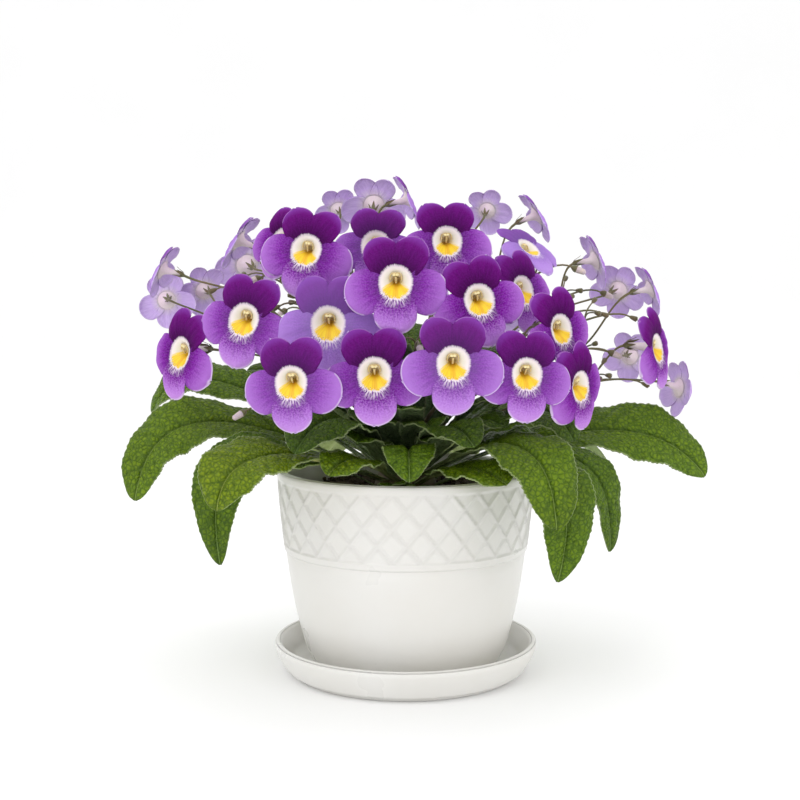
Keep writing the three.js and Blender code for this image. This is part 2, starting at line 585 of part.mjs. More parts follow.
// A bloom's place: +z of its own frame looks out at its bearing and pitch.
function bloomMatrix({ at, bearing, pitch, roll, size }) {
  const facing = outward(bearing).multiplyScalar(Math.cos(rad(pitch))).setZ(Math.sin(rad(pitch)));
  const right = UP.clone().cross(facing).normalize().applyAxisAngle(facing, rad(roll));
  const up = facing.clone().cross(right);
  const matrix = new THREE.Matrix4().makeBasis(right, up, facing).scale(new THREE.Vector3(size, size, size));
  return matrix.setPosition(...at);
}

function blooms() {
  const corolla = {
    near: bloomGeometry(LOBE_POINTS.near, BLOOM.petal),
    small: bloomGeometry(LOBE_POINTS.small, BLOOM.petal / BLOOM.smallest),
  };
  return BLOOMS.map((bloom) => {
    const mesh = meshOf(bloom.name, bloom.size > BLOOM.small ? corolla.near : corolla.small, "petal");
    mesh.applyMatrix4(bloomMatrix(bloom));
    return mesh;
  });
}

// ---------------------------------------------------------------- crown, flower stalks and young leaves

// Rings of a tapered stalk along a curve. The first ring's first point lies towards start; the others follow on.
function stalkRings(curve, start, sides, steps, from, to) {
  const direction = start.clone();
  let heading = curve.getTangentAt(0);
  return Array.from({ length: steps + 1 }, (_, i) => {
    const next = curve.getTangentAt(i / steps);
    direction.applyQuaternion(new THREE.Quaternion().setFromUnitVectors(heading, next));
    direction.addScaledVector(next, -direction.dot(next)).normalize();
    heading = next;
    const radius = THREE.MathUtils.lerp(from, to, i / steps);
    return Array.from({ length: sides }, (_, j) =>
      direction
        .clone()
        .applyAxisAngle(next, (2 * Math.PI * j) / sides)
        .multiplyScalar(radius)
        .add(curve.getPointAt(i / steps)),
    );
  });
}

const stalk = (curve, from, to, steps) => loft(stalkRings(curve, UP, STALK.sides, steps, from, to));

// A bud on its twig, or a calyx that has lost its flower, as one stalk that swells near its end.
function budOnTwig(from, way, side, spent) {
  const end = from.clone().addScaledVector(way, 10).add(side);
  const twig = new THREE.QuadraticBezierCurve3(from, from.clone().addScaledVector(way, 6), end);
  const along = twig.getTangent(1);
  const rings = stalkRings(twig, UP, STALK.sides, 2, STALK.pedicel, STALK.pedicel * 0.8);
  const swell = spent ? [[0.6, 1.5], [4.2, 1.9]] : [[2, 1.8], [7.5, 1.1]];
  const last = rings.at(-1);
  swell.forEach(([distance, growth]) => {
    const middle = end.clone().addScaledVector(along, distance);
    rings.push(last.map((p) => p.clone().sub(end).multiplyScalar(growth / (STALK.pedicel * 0.8)).add(middle)));
  });
  return loft(rings);
}

// A calyx on its pedicel, as one solid. The pedicel's curve runs back from the calyx to the fork. The cup ends just
// short of the bloom's tube, and its narrow sepals stand round the tube.
function calyxOnPedicel(curve, matrix) {
  const { up, back } = TUBE.at(-1);
  const place = (turn, reach, z) => spoke(turn, reach, z - back - GAP).add(new THREE.Vector3(0, up, 0)).applyMatrix4(matrix);
  const middle = place(0, 0, -CALYX.cup);
  const start = place(90, 1, -CALYX.cup).sub(middle).normalize();
  const rings = stalkRings(curve, start, CALYX.sepals, STALK.pedicelSteps, STALK.pedicel * 1.2, STALK.pedicel);
  const points = rings.flat();
  const n = CALYX.sepals;
  // Seen from the fork the rings run counterclockwise, which is clockwise from the bloom's own side.
  const around = (offset, reach, z) =>
    Array.from({ length: n }, (_, i) => points.push(place(90 - (i + offset) * (360 / n), reach, z)) - 1);
  const tips = around(0, CALYX.cupRadius + 2.6, CALYX.sepal);
  const valleys = around(0.5, CALYX.cupRadius + 0.5, 0.4);
  const inner = around(0, CALYX.cupRadius, 0);
  const triangles = [];
  for (let i = 0; i < n; i++) {
    const k = (i + 1) % n;
    triangles.push([i, valleys[i], k], [i, tips[i], valleys[i]], [k, valleys[i], tips[k]]);
    triangles.push([inner[i], inner[k], valleys[i]], [inner[i], valleys[i], tips[i]], [inner[k], tips[k], valleys[i]]);
    for (let r = 0; r + 1 < rings.length; r++) {
      const [a, b] = [r * n + i, r * n + k];
      triangles.push([a, b, b + n], [a, b + n, a + n]);
    }
  }
  const last = (rings.length - 1) * n;
  for (let i = 1; i + 1 < n; i++) triangles.push([inner[0], inner[i + 1], inner[i]], [last, last + i, last + i + 1]);
  return geometryOf(points, triangles);
}

// A bearing of a point, and the foot of a stalk on the crown's top towards a bearing.
const bearingOf = (p) => THREE.MathUtils.radToDeg(Math.atan2(p.x, -p.y));
const stalkFoot = (bearing, outer) => polar(bearing, outer ? 9 : 4.6, CROWN.top - 2);

// One flower stalk with its fork, pedicels and calyces, and a bud or an empty calyx on a short twig.
function spray({ blooms: numbers, fork, bud, spent }, index) {
  const { up, back } = TUBE.at(-1);
  const carried = numbers.map((number) => bloomMatrix(BLOOMS[number - 1]));
  const seats = carried.map((matrix) => new THREE.Vector3(0, up, -back - GAP - CALYX.cup).applyMatrix4(matrix));
  const middle = seats.reduce((sum, p) => sum.add(p), new THREE.Vector3()).divideScalar(seats.length);
  const bearing = bearingOf(middle);
  const foot = stalkFoot(bearing, index % 2 === 0);
  const forkAt = foot.clone().lerp(middle, fork).add(new THREE.Vector3(0, 0, 4));
  const span = forkAt.distanceTo(foot);
  const rise = new THREE.CubicBezierCurve3(
    foot,
    foot.clone().add(outward(bearing).multiplyScalar(span * 0.1).setZ(span * 0.4)),
    forkAt.clone().lerp(foot, 0.25).add(new THREE.Vector3(0, 0, span * 0.06)),
    forkAt,
  );
  const onward = rise.getTangent(1);
  const parts = [stalk(rise, STALK.foot, STALK.fork, STALK.steps)];
  seats.forEach((seat, i) => {
    const reach = forkAt.distanceTo(seat);
    const behind = new THREE.Vector3(0, 0, -1).transformDirection(carried[i]);
    const pedicel = new THREE.CubicBezierCurve3(
      seat,
      seat.clone().addScaledVector(behind, reach * 0.3),
      forkAt.clone().addScaledVector(onward, reach * 0.3),
      forkAt.clone().addScaledVector(onward, -1.2),
    );
    parts.push(calyxOnPedicel(pedicel, carried[i]));
  });
  const side = outward(bearing + 70).multiplyScalar(bud ? 7 : -7);
  if (bud || spent) parts.push(budOnTwig(forkAt.clone().addScaledVector(onward, -1), onward, side, spent));
  return parts;
}

function crown() {
  const dome = [
    [0, SOIL.top - SOIL.crownDepth + GAP],
    [CROWN.radius * 0.8, SOIL.top - SOIL.crownDepth + GAP],
    [CROWN.radius, SOIL.top - 6],
    [CROWN.radius, SOIL.top],
    [CROWN.shoulder, CROWN.top],
    [0, CROWN.top + 1],
  ];
  const young = YOUNG_LEAVES.map((leaf) => leafGeometry(leaf, crownReach(leaf.base) - 4, 6));
  const parts = [turned(dome, CROWN.sides), ...young, ...SPRAYS.flatMap(spray)];
  return meshOf("crown_and_stalks", geometryOfSolid(wasm.Manifold.union(parts.map(solidOf))), "stalk");
}

// ---------------------------------------------------------------- the whole plant in its pot

const plant = new THREE.Group();
plant.add(saucer(), pot(), soil(), crown(), ...leaves(), ...blooms());

export default plant;
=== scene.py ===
"""A streptocarpus in flower, in its glazed pot and saucer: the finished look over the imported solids.

Sizes are in millimetres where a name doesn't say otherwise, and are scaled to metres as each mesh is filled.
-Y is the plant's front. A bearing turns about +Z from the front: 0 is the front and 90 is the right.
"""
import math
import random
from contextlib import contextmanager
from functools import partial
from typing import NamedTuple

import bpy
import numpy as np
from mathutils import Matrix, Vector, noise


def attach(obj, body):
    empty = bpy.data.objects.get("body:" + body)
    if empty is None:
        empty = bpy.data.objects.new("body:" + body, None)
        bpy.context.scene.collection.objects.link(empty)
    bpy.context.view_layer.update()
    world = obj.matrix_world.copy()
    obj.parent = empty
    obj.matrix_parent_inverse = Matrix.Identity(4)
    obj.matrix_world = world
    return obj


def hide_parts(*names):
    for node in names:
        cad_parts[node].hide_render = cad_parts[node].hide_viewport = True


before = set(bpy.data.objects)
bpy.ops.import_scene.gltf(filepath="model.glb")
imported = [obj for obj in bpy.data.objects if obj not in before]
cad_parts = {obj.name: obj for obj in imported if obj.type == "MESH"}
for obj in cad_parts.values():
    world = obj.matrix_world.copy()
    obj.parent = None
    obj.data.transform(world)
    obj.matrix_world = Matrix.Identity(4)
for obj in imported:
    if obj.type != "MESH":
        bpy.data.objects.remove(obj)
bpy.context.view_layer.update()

bl_info = {
    "name": "Potted Streptocarpus",
    "version": (1, 0, 0),
    "blender": (4, 5, 0),
    "location": "View3D > Sidebar > Streptocarpus",
    "description": "Builds a flowering streptocarpus in its pot over the packed solids",
    "category": "Add Mesh",
}

MM = 0.001
UP = Vector((0, 0, 1))
MERGE_DISTANCE = 1e-6  # metres

# ---------------------------------------------------------------- shared sizes, as in the part's source

SOIL_TOP = 94
CROWN = {"radius": 17, "shoulder": 12, "top": 110}
SAUCER = {"foot": 59, "body": 61.8, "rim": 68.5, "height": 17.5, "wall": 4.5, "floor": 4, "foot_height": 2.5}
POT_FOOT = SAUCER["floor"]
POT_RIM = POT_FOOT + 102
CROWN_HOLE = 17.9
NET_RADIUS = 65  # where the diamonds' width is worked out
POT = {"rim": 66, "wall": 4.5, "floor": 5, "foot": 46.5, "foot_height": 2, "foot_width": 7, "drain": 6}
POT_OUTLINE = [(46.5, POT_FOOT), (49.6, 8.5), (55.2, 25), (59.4, 45), (62.2, 65), (64.4, 85), (66, POT_RIM)]
BAND = {"bottom": 65, "net": (68, 101.6), "proud": 0.8, "relief": 0.9, "diamonds": 29, "rows": 4}
PETIOLE = 2.6
PETIOLE_SHARE = 0.12
THROAT = 7.2
TUBE_END = 14.8
TUBE_END_RADIUS = 1.3
TUBE_END_UP = 3.4
STALK = {"foot": 1.3, "fork": 0.8, "pedicel": 0.52}
KNOT = (1.15, 1.1)  # radii where a stalk swells into its fork
CALYX = {"cup": 2.6, "cup_radius": 1.7, "sepal": 5.2}
GAP = 0.3

# ---------------------------------------------------------------- mesh resolution

SAUCER_SIDES = 180
SIDES_A_DIAMOND = 12
BAND_RINGS = 66
WALL_RINGS = 12
CRUMBS = 260
BLADE_GRID = (36, 108)
SMALL_BLADE_GRID = (18, 44)
LOBE_GRID = 20
REAR_DETAIL = 0.7  # share of the front flowers' resolution

# ---------------------------------------------------------------- the plant's pieces, one line each


def numbered(kind, prefix, width, rows):
    """A table's rows as pieces, with the nodes' names numbered from one."""
    return [kind(f"{prefix}{number:0{width}d}", *row) for number, row in enumerate(rows, 1)]


class Leaf(NamedTuple):
    """A leaf: bearing, swing, base height, shoulder and tip (reach, height), half width, roll, taper, and a
    tone that is partly real variation and partly painted light and shade.
    """

    node: str
    bearing: float
    swing: float
    base: float
    shoulder: tuple
    tip: tuple
    half: float
    roll: float
    taper: float
    tone: float = 0.5


LEAVES = numbered(Leaf, "leaf_", 2, [
    (-45, -2, 101, (118, 142), (119, 97), 19, -24, 0.6, 0.95),
    (-69, 5, 97, (116, 154), (101, 64), 15, -50, 0.6, 0.4),
    (-85, 4, 101, (130, 166), (138, 92), 18, -50, 0.5, 0.62),
    (-107, 5, 104, (126, 180), (139, 131), 15, -40, 0.5, 0.5),
    (-31, -3, 105, (66, 158), (92, 123), 17, -20, 0.55, 0.12),
    (-20, -7, 101, (72, 128), (80, 112), 13, -16, 0.6, 0.75),
    (1, 0, 101, (64, 140), (78, 110), 13, 0, 0.55, 0.45),
    (16, 6, 106, (62, 148), (83, 126), 13, 16, 0.5, 0.2),
    (24, 6, 99.5, (66, 122), (92, 109), 15, 14, 0.5, 0.75),
    (37, 2, 103.5, (108, 154), (109, 89), 18, 20, 0.5, 0.6),
    (50, -4, 97, (122, 142), (99, 61), 17, 26, 0.6, 0.5),
    (54, 2, 107, (84, 162), (96, 126), 15, 24, 0.5, 0.2),
    (74, -4, 98, (112, 146), (107, 69), 14, 26, 0.6, 0.35),
    (87, 3, 103, (124, 150), (155, 101), 19, 52, 0.6, 0.55),
    (114, 4, 99, (88, 150), (132, 92), 18, 8, 0.55, 0.5),
    (137, -4, 103, (80, 160), (126, 112), 17, -8, 0.6, 0.45),
    (159, 5, 98, (84, 138), (116, 72), 17, 6, 0.55, 0.6),
    (181, -4, 103, (78, 158), (126, 106), 18, 8, 0.6, 0.5),
    (205, 3, 98, (86, 140), (118, 78), 17, -8, 0.55, 0.6),
    (230, -3, 102, (86, 156), (130, 98), 18, 8, 0.6, 0.45),
])

YOUNG_LEAVES = numbered(Leaf, "young_", 1, [
    (-8, 0, 96, (40, 104), (58, 105), 8, 6, 0.55),
    (9, -3, 95.5, (40, 103), (60, 104), 7, -6, 0.55),
    (100, 4, 105, (34, 142), (56, 140), 10, 8, 0.55),
    (192, -6, 106, (34, 146), (54, 144), 11, -8, 0.55),
    (-74, 4, 106, (36, 144), (56, 146), 10, -8, 0.55),
])

# Further small leaves that fill the plant's middle, between the flower stalks. Their low tones darken them as
# painted shade deep in the plant.
INNER_LEAVES = numbered(Leaf, "inner_", 1, [
    (-62, 6, 106, (44, 158), (72, 148), 14, -20, 0.5, 0.1),
    (-38, -6, 108, (36, 176), (62, 168), 14, -12, 0.5, 0.05),
    (-16, 5, 108, (30, 178), (56, 172), 13, -6, 0.5, 0.05),
    (4, -5, 108, (30, 172), (58, 160), 13, 4, 0.5, 0.1),
    (20, 5, 108, (32, 182), (58, 176), 13, 8, 0.5, 0.05),
    (38, 5, 108, (38, 178), (64, 166), 14, 12, 0.5, 0.05),
    (62, -6, 106, (46, 160), (76, 148), 14, 18, 0.5, 0.1),
    (-98, 6, 106, (48, 160), (82, 156), 14, -14, 0.5, 0.15),
    (96, -6, 106, (50, 156), (84, 150), 14, 14, 0.5, 0.15),
    (-132, 6, 108, (36, 172), (66, 170), 14, 8, 0.5, 0.2),
    (132, -6, 108, (36, 174), (66, 172), 14, -8, 0.5, 0.2),
    (174, 6, 108, (30, 180), (58, 178), 14, 6, 0.5, 0.2),
    (-30, 8, 101, (42, 132), (62, 126), 12, -14, 0.5, 0.3),
    (28, -8, 102, (44, 134), (66, 128), 13, 14, 0.5, 0.3),
    (-8, 6, 104, (38, 146), (60, 142), 12, -6, 0.5, 0.15),
    (-60, 4, 98, (44, 118), (72, 112), 14, -10, 0.5, 0.5),
    (66, 6, 101, (50, 130), (70, 122), 14, 16, 0.5, 0.3),
    (-24, 5, 105, (40, 144), (63, 135), 13, -10, 0.5, 0.1),
    (15, -5, 105, (40, 142), (63, 133), 12, 6, 0.5, 0.15),
    (36, 5, 104, (48, 144), (72, 133), 13, 12, 0.5, 0.1),
])


class Bloom(NamedTuple):
    """A bloom by its throat's middle, the way it looks, its roll and size, and how pale it is."""

    node: str
    at: tuple
    bearing: float
    pitch: float
    roll: float
    size: float
    pale: float = 0.0


BLOOMS = numbered(Bloom, "bloom_", 2, [
    ((-47, -59, 217), -10, 12, -9, 1.03),
    ((-15, -38, 220), -6, 18, -4, 0.97, 0.12),
    ((-5, -84, 202), -3, 8, 0, 1.08),
    ((19, -62, 221), 6, 14, 2, 0.98),
    ((33, -81, 194), 12, 8, 14, 1.0),
    ((-76, -64, 184.5), -18, 8, -12, 1.06),
    ((-36, -76, 183), -7, 4, 0, 1.12, 0.6),
    ((-51.5, -97, 157.5), -10, 4, 2, 1.03, 0.1),
    ((-14.5, -93, 161), -2, 6, 2, 1.06),
    ((20.5, -103, 166.5), 4, 6, 0, 1.05, 0.15),
    ((54, -92, 161), 14, 6, -2, 1.0),
    ((-109, -46, 168), -44, 8, -14, 1.06),
    ((56, -47, 198), 41, 10, 13, 0.97, 0.08),
    ((72, -68, 180.2), 40, 8, 13, 0.97),
    ((80.5, -74, 154), 50, 0, 20, 0.98),
    ((127.5, -12, 168.5), 60, 8, 20, 1.0),
    ((-61, -30, 222), -34, 18, -10, 0.9),
    ((-17, 42, 243), 178, 26, 4, 0.8, 0.5),
    ((-37, 56, 241), -170, 24, -6, 0.62, 0.5),
    ((2, 12, 244), 98, 24, 0, 0.72, 0.5),
    ((44, 42, 240), 172, 26, -8, 0.62, 0.6),
    ((68, 10, 236), 98, 32, 0, 0.68, 0.6),
    ((116, 44, 197), 150, 16, 6, 0.72, 0.6),
    ((61, -20, 219), 44, 48, 0, 0.85, 0.8),
    ((100, 20, 213), 104, 20, -4, 0.72, 0.6),
    ((127, 8, 198), 98, 22, 4, 0.66, 0.6),
    ((123, 46, 161), 160, 6, 6, 0.66, 0.6),
    ((144, 14, 146), 110, -6, -8, 0.7, 0.5),
    ((-124, -6, 208), -98, 26, 0, 0.68, 0.6),
    ((-108, 32, 197), -160, 16, 6, 0.66, 0.6),
    ((-126, 20, 192), -165, 8, -6, 0.68, 0.6),
    ((-87, 8, 223), -98, 32, 0, 0.76, 0.6),
    ((-89, 66, 211), -160, 18, 4, 0.85, 0.5),
    ((-2, 84, 208), 178, 16, 0, 0.98, 0.1),
    ((48, 92, 184), 158, 10, 6, 0.98),
    ((-44, 94, 176), -162, 8, -4, 1.0, 0.1),
])


class Spray(NamedTuple):
    """A flower stalk: its blooms, the share of the way where it forks, and what its twig ends in."""

    blooms: tuple
    fork: float
    twig: str = ""


SPRAYS = [
    Spray((1, 17), 0.74, "bud"),
    Spray((3, 2), 0.72),
    Spray((4, 5), 0.74, "spent"),
    Spray((6, 12), 0.72, "bud"),
    Spray((7, 8), 0.7),
    Spray((9,), 0.78, "bud"),
    Spray((10, 11), 0.74),
    Spray((13,), 0.7),
    Spray((14, 15), 0.7, "spent"),
    Spray((16, 28), 0.74, "spent"),
    Spray((18, 20), 0.76),
    Spray((19, 33), 0.76, "bud"),
    Spray((21, 34), 0.76),
    Spray((22, 24), 0.78, "spent"),
    Spray((23, 25), 0.76, "bud"),
    Spray((26, 27), 0.76, "spent"),
    Spray((29, 32), 0.76, "bud"),
    Spray((30, 31), 0.76, "spent"),
    Spray((35,), 0.78, "bud"),
    Spray((36,), 0.78, "bud"),
]


# Bare twigs between the flowers, by what they end in and where.
TWIGS = [
    ("spent", (98, -14, 186)),
    ("bud", (104, 28, 196)),
    ("spent", (90, 36, 180)),
    ("spent", (114, -6, 184)),
    ("bud", (84, -8, 209)),
    ("spent", (121, -4, 150)),
    ("bud", (104, -2, 166)),
    ("spent", (-96, -8, 198)),
    ("bud", (-106, 14, 180)),
    ("spent", (-84, 28, 205)),
    ("bud", (-72, -22, 204)),
    ("bud", (-76, -60, 141)),
    ("bud", (6, -58, 172)),
    ("spent", (-62, -30, 190)),
    ("spent", (30, 60, 214)),
    ("bud", (-30, 64, 208)),
    ("spent", (62, 56, 190)),
    ("bud", (-66, 58, 186)),
]


class Lobe(NamedTuple):
    """A petal lobe: its turn round the throat, middle's reach, half sizes, swell, drop of the tip, layer."""

    turn: float
    reach: float
    along: float
    across: float
    crown: float
    drop: float
    layer: float
    finish: str


LOBES = [
    Lobe(62, 12.6, 8.6, 8.0, 0.9, 3.0, 0.75, "petal_upper"),
    Lobe(118, 12.6, 8.6, 8.0, 0.9, 3.0, 0.5, "petal_upper"),
    Lobe(198, 13.5, 9.0, 10.0, 1.0, 3.6, 0.0, "petal_side"),
    Lobe(270, 13.2, 8.8, 9.4, 1.1, 2.4, 0.35, "petal_lip"),
    Lobe(342, 13.5, 9.0, 10.0, 1.0, 3.6, 0.05, "petal_side"),
]

# ---------------------------------------------------------------- settings a user may change


def length_setting(name, description, millimetres):
    """A length, kept in metres."""
    return bpy.props.FloatProperty(
        name=name, description=description, default=millimetres * MM, unit="LENGTH"
    )


def colour_setting(name, description, colour):
    """A colour without alpha."""
    return bpy.props.FloatVectorProperty(
        name=name, description=description, subtype="COLOR", size=3, default=colour
    )


class FlowerSettings(bpy.types.PropertyGroup):
    """Sizes and colours of the flowers."""

    petal_thickness: length_setting("Petal thickness", "Thickness of a petal", 0.35)
    ruffle: length_setting("Ruffle", "Height of the waves along a petal's margin", 0.45)
    upper: colour_setting("Upper petals", "Colour of the two upper petals", (0.1, 0.002, 0.125))
    lower: colour_setting("Lower petals", "Colour of the three lower petals", (0.2, 0.007, 0.33))
    outer: colour_setting("Outer part", "Colour of the lower petals near their margins", (0.42, 0.16, 0.61))
    back: colour_setting("Petal backs", "Colour of the petals' backs", (0.72, 0.54, 0.94))
    yellow: colour_setting("Throat's patch", "Colour of the patch on the throat's floor", (0.92, 0.64, 0.015))


class LeafSettings(bpy.types.PropertyGroup):
    """Sizes and colours of the leaves."""

    thickness: length_setting("Blade thickness", "Thickness of a blade", 0.7)
    quilt: length_setting("Quilting", "Height of the blisters between the veins", 0.85)
    vein_spacing: length_setting("Vein spacing", "Distance between side veins", 8.5)
    teeth: bpy.props.IntProperty(name="Teeth", description="Rounded teeth along each margin", default=40)
    face: colour_setting("Face", "Colour of a leaf's upper side", (0.08, 0.158, 0.002))
    under: colour_setting("Underside", "Colour of a leaf's underside", (0.24, 0.33, 0.12))
    stalk: colour_setting("Stalks", "Colour of the flower stalks", (0.085, 0.09, 0.025))


class PotSettings(bpy.types.PropertyGroup):
    """Sizes and colours of the pot, the saucer and the soil."""

    ridge: length_setting("Ridge width", "Width of the raised net's ridges", 1.3)
    glaze: colour_setting("Glaze", "Colour of the glaze", (0.77, 0.762, 0.735))
    soil: colour_setting("Soil", "Colour of the potting soil", (0.03, 0.021, 0.014))


class StudioSettings(bpy.types.PropertyGroup):
    """Light and lens of the studio."""

    key: bpy.props.FloatProperty(
        name="Key light", description="Power of the large light at the upper left", default=6.0, unit="POWER"
    )
    fill: bpy.props.FloatProperty(
        name="Fill light", description="Power of the light at the right", default=2.5, unit="POWER"
    )
    sky: bpy.props.FloatProperty(name="Surround", description="Strength of the white surround", default=1.0)
    lens: bpy.props.FloatProperty(
        name="Lens", description="Focal length of the camera", default=61.3, unit="CAMERA"
    )


# ---------------------------------------------------------------- placing helpers


def outward(bearing):
    """The level direction at a bearing."""
    turn = math.radians(bearing)
    return Vector((math.sin(turn), -math.cos(turn), 0))


def polar(bearing, reach, height):
    """The point at a bearing, a distance from the axis and a height."""
    return outward(bearing) * reach + UP * height


def unit(rows):
    """Each row of an array, scaled to length one."""
    return rows / np.linalg.norm(rows, axis=-1, keepdims=True)


def smooth(x, low, high):
    """Zero below low, one above high and a smooth rise between."""
    t = np.clip((x - low) / (high - low), 0, 1)
    return t * t * (3 - 2 * t)


def bezier(points, s):
    """Points at shares s of a Bezier curve with three or four control points."""
    p = [np.array(q, float) for q in points]
    s = np.atleast_1d(s)[:, None]
    if len(p) == 3:
        return (1 - s) ** 2 * p[0] + 2 * s * (1 - s) * p[1] + s * s * p[2]
    return (1 - s) ** 3 * p[0] + 3 * s * (1 - s) ** 2 * p[1] + 3 * s * s * (1 - s) * p[2] + s**3 * p[3]


def bearing_of(p):
    """The bearing of a point."""
    return math.degrees(math.atan2(p[0], -p[1]))


def crown_reach(z):
    """The crown's flank at a height, where leaves spring from."""
    share = (z - SOIL_TOP) / (CROWN["top"] - SOIL_TOP)
    return CROWN["radius"] + (CROWN["shoulder"] - CROWN["radius"]) * share


def bloom_matrix(bloom):
    """A bloom's place: +Z of its own frame looks out of the face and +Y is up."""
    pitch = math.radians(bloom.pitch)
    facing = outward(bloom.bearing) * math.cos(pitch) + UP * math.sin(pitch)
    right = Matrix.Rotation(math.radians(bloom.roll), 3, facing) @ UP.cross(facing).normalized()
    up = facing.cross(right)
    turn = Matrix((right, up, facing)).transposed().to_4x4()
    return Matrix.Translation(bloom.at) @ turn @ Matrix.Scale(bloom.size, 4)


# ---------------------------------------------------------------- mesh helpers


def deselect():
    bpy.ops.object.select_all(action="DESELECT")


def select_only(*objects):
    """Selects objects, the first as the active one."""
    deselect()
    for obj in objects:
        obj.select_set(True)
    bpy.context.view_layer.objects.active = objects[0]


@contextmanager
def editing(obj):
    """Holds an object in edit mode with all of its mesh selected."""
    select_only(obj)
    bpy.ops.object.mode_set(mode="EDIT")
    bpy.ops.mesh.select_all(action="SELECT")
    yield
    bpy.ops.object.mode_set(mode="OBJECT")


def get_points(mesh):
    """A mesh's points as an array, in millimetres."""
    co = np.empty(len(mesh.vertices) * 3)
    mesh.vertices.foreach_get("co", co)
    return co.reshape(-1, 3) / MM


def set_points(mesh, co):
    """Moves a mesh's points to places in millimetres."""
    mesh.vertices.foreach_set("co", np.ascontiguousarray(co * MM, float).ravel())
    mesh.update()


def carry(mesh, co, matrix):
    """Moves a mesh's points to places that are given in a matrix's own frame."""
    matrix = np.array(matrix)
    set_points(mesh, co @ matrix[:3, :3].T + matrix[:3, 3])


def set_form(mesh, *values):
    """Stores three values a point, which the materials read as the attribute form."""
    form = mesh.attributes.new("form", "FLOAT_VECTOR", "POINT")
    rows = np.stack([np.broadcast_to(v, len(mesh.vertices)) for v in values], axis=1)
    form.data.foreach_set("vector", rows.astype(np.float32).ravel())


def set_value(mesh, name, value):
    """Stores one value at every point under a name, for a material that tells pieces apart."""
    attribute = mesh.attributes.new(name, "FLOAT", "POINT")
    attribute.data.foreach_set("value", np.full(len(mesh.vertices), value, np.float32))


def dress(obj, name, form, *finishes):
    """Names a new mesh object, stores its form, gives it its materials and shades it smooth."""
    obj.name = obj.data.name = name
    set_form(obj.data, *form)
    for finish in finishes:
        obj.data.materials.append(bpy.data.materials[finish])
    bpy.ops.object.shade_smooth()
    return obj


def sheet(name, across, along, place, *finishes):
    """A grid of across by along faces, its points moved to place(u, v), which also gives their form."""
    deselect()
    bpy.ops.mesh.primitive_grid_add(x_subdivisions=across, y_subdivisions=along, size=1)
    obj = bpy.context.object
    co = get_points(obj.data) * MM
    points, form = place(co[:, 0] + 0.5, co[:, 1] + 0.5)
    set_points(obj.data, points)
    return dress(obj, name, form, *finishes)


def thicken(obj, thickness, offset):
    """Gives a sheet its thickness, with the second material on the new side and the first on the rim."""
    select_only(obj)
    modifier = obj.modifiers.new("Solidify", "SOLIDIFY")
    modifier.thickness = thickness
    modifier.offset = offset
    modifier.material_offset = 1
    modifier.material_offset_rim = 0
    bpy.ops.object.modifier_apply(modifier=modifier.name)


def join(objects, name):
    """Joins objects into the first, under a name."""
    select_only(*objects)
    bpy.ops.object.join()
    objects[0].name = objects[0].data.name = name
    return objects[0]


def merge(obj, outwards=True):
    """Merges points that lie together, and points the faces outwards."""
    with editing(obj):
        bpy.ops.mesh.remove_doubles(threshold=MERGE_DISTANCE)
        if outwards:
            bpy.ops.mesh.normals_make_consistent(inside=False)


def flip(obj):
    """Turns a sheet's faces over."""
    with editing(obj):
        bpy.ops.mesh.flip_normals()


def copy_of(template, name):
    """A copy of an object, with its own mesh."""
    obj = bpy.data.objects.new(name, template.data.copy())
    obj.data.name = name
    bpy.context.collection.objects.link(obj)
    return obj


def discard(objects):
    """Removes templates that have been copied."""
    for obj in objects:
        bpy.data.objects.remove(obj)


def place_piece(obj, slot, *nodes):
    """Rides a finished piece on the root body in place of its nodes."""
    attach(obj, "root")
    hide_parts(*nodes)


def columns(rows):
    """A table's columns as arrays."""
    return [np.array(column, float) for column in zip(*rows)]


def turned(name, profile, around, finish):
    """Rolls a grid round the axis along an outline of (radius, height) points."""
    radii, heights = columns(profile)
    knots = np.linspace(0, 1, len(profile))

    def place(u, v):
        turn, reach, height = u * 2 * np.pi, np.interp(v, knots, radii), np.interp(v, knots, heights)
        return np.stack([reach * np.sin(turn), -reach * np.cos(turn), height], 1), (0, 0, 0)

    obj = sheet(name, around, len(profile) - 1, place, finish)
    merge(obj)
    return obj


def rods(name, lines, finish, sides=8):
    """Round stalks, each along points with a radius at each, from one bevelled curve."""
    deselect()
    bpy.ops.curve.primitive_nurbs_path_add()
    curve = bpy.context.object.data
    curve.splines.clear()
    for points, radii in lines:
        spline = curve.splines.new("POLY")
        spline.points.add(len(points) - 1)
        for point, at, radius in zip(spline.points, points, radii):
            point.co = (*(Vector(at) * MM), 1)
            point.radius = radius
    curve.dimensions = "3D"
    curve.bevel_depth = MM
    curve.bevel_resolution = max(0, sides // 2 - 2)
    curve.use_fill_caps = True
    bpy.ops.object.convert(target="MESH")
    return dress(bpy.context.object, name, (0, 0, 0), finish)


# ---------------------------------------------------------------- node helpers


class Signal:
    """A node's output. Adding, subtracting or multiplying signals adds math nodes to their graph."""

    def __init__(self, graph, socket):
        self.graph = graph
        self.socket = socket

    def __add__(self, other):
        return self.graph.math("ADD", self, other)

    def __sub__(self, other):
        return self.graph.math("SUBTRACT", self, other)

    def __mul__(self, other):
        return self.graph.math("MULTIPLY", self, other)


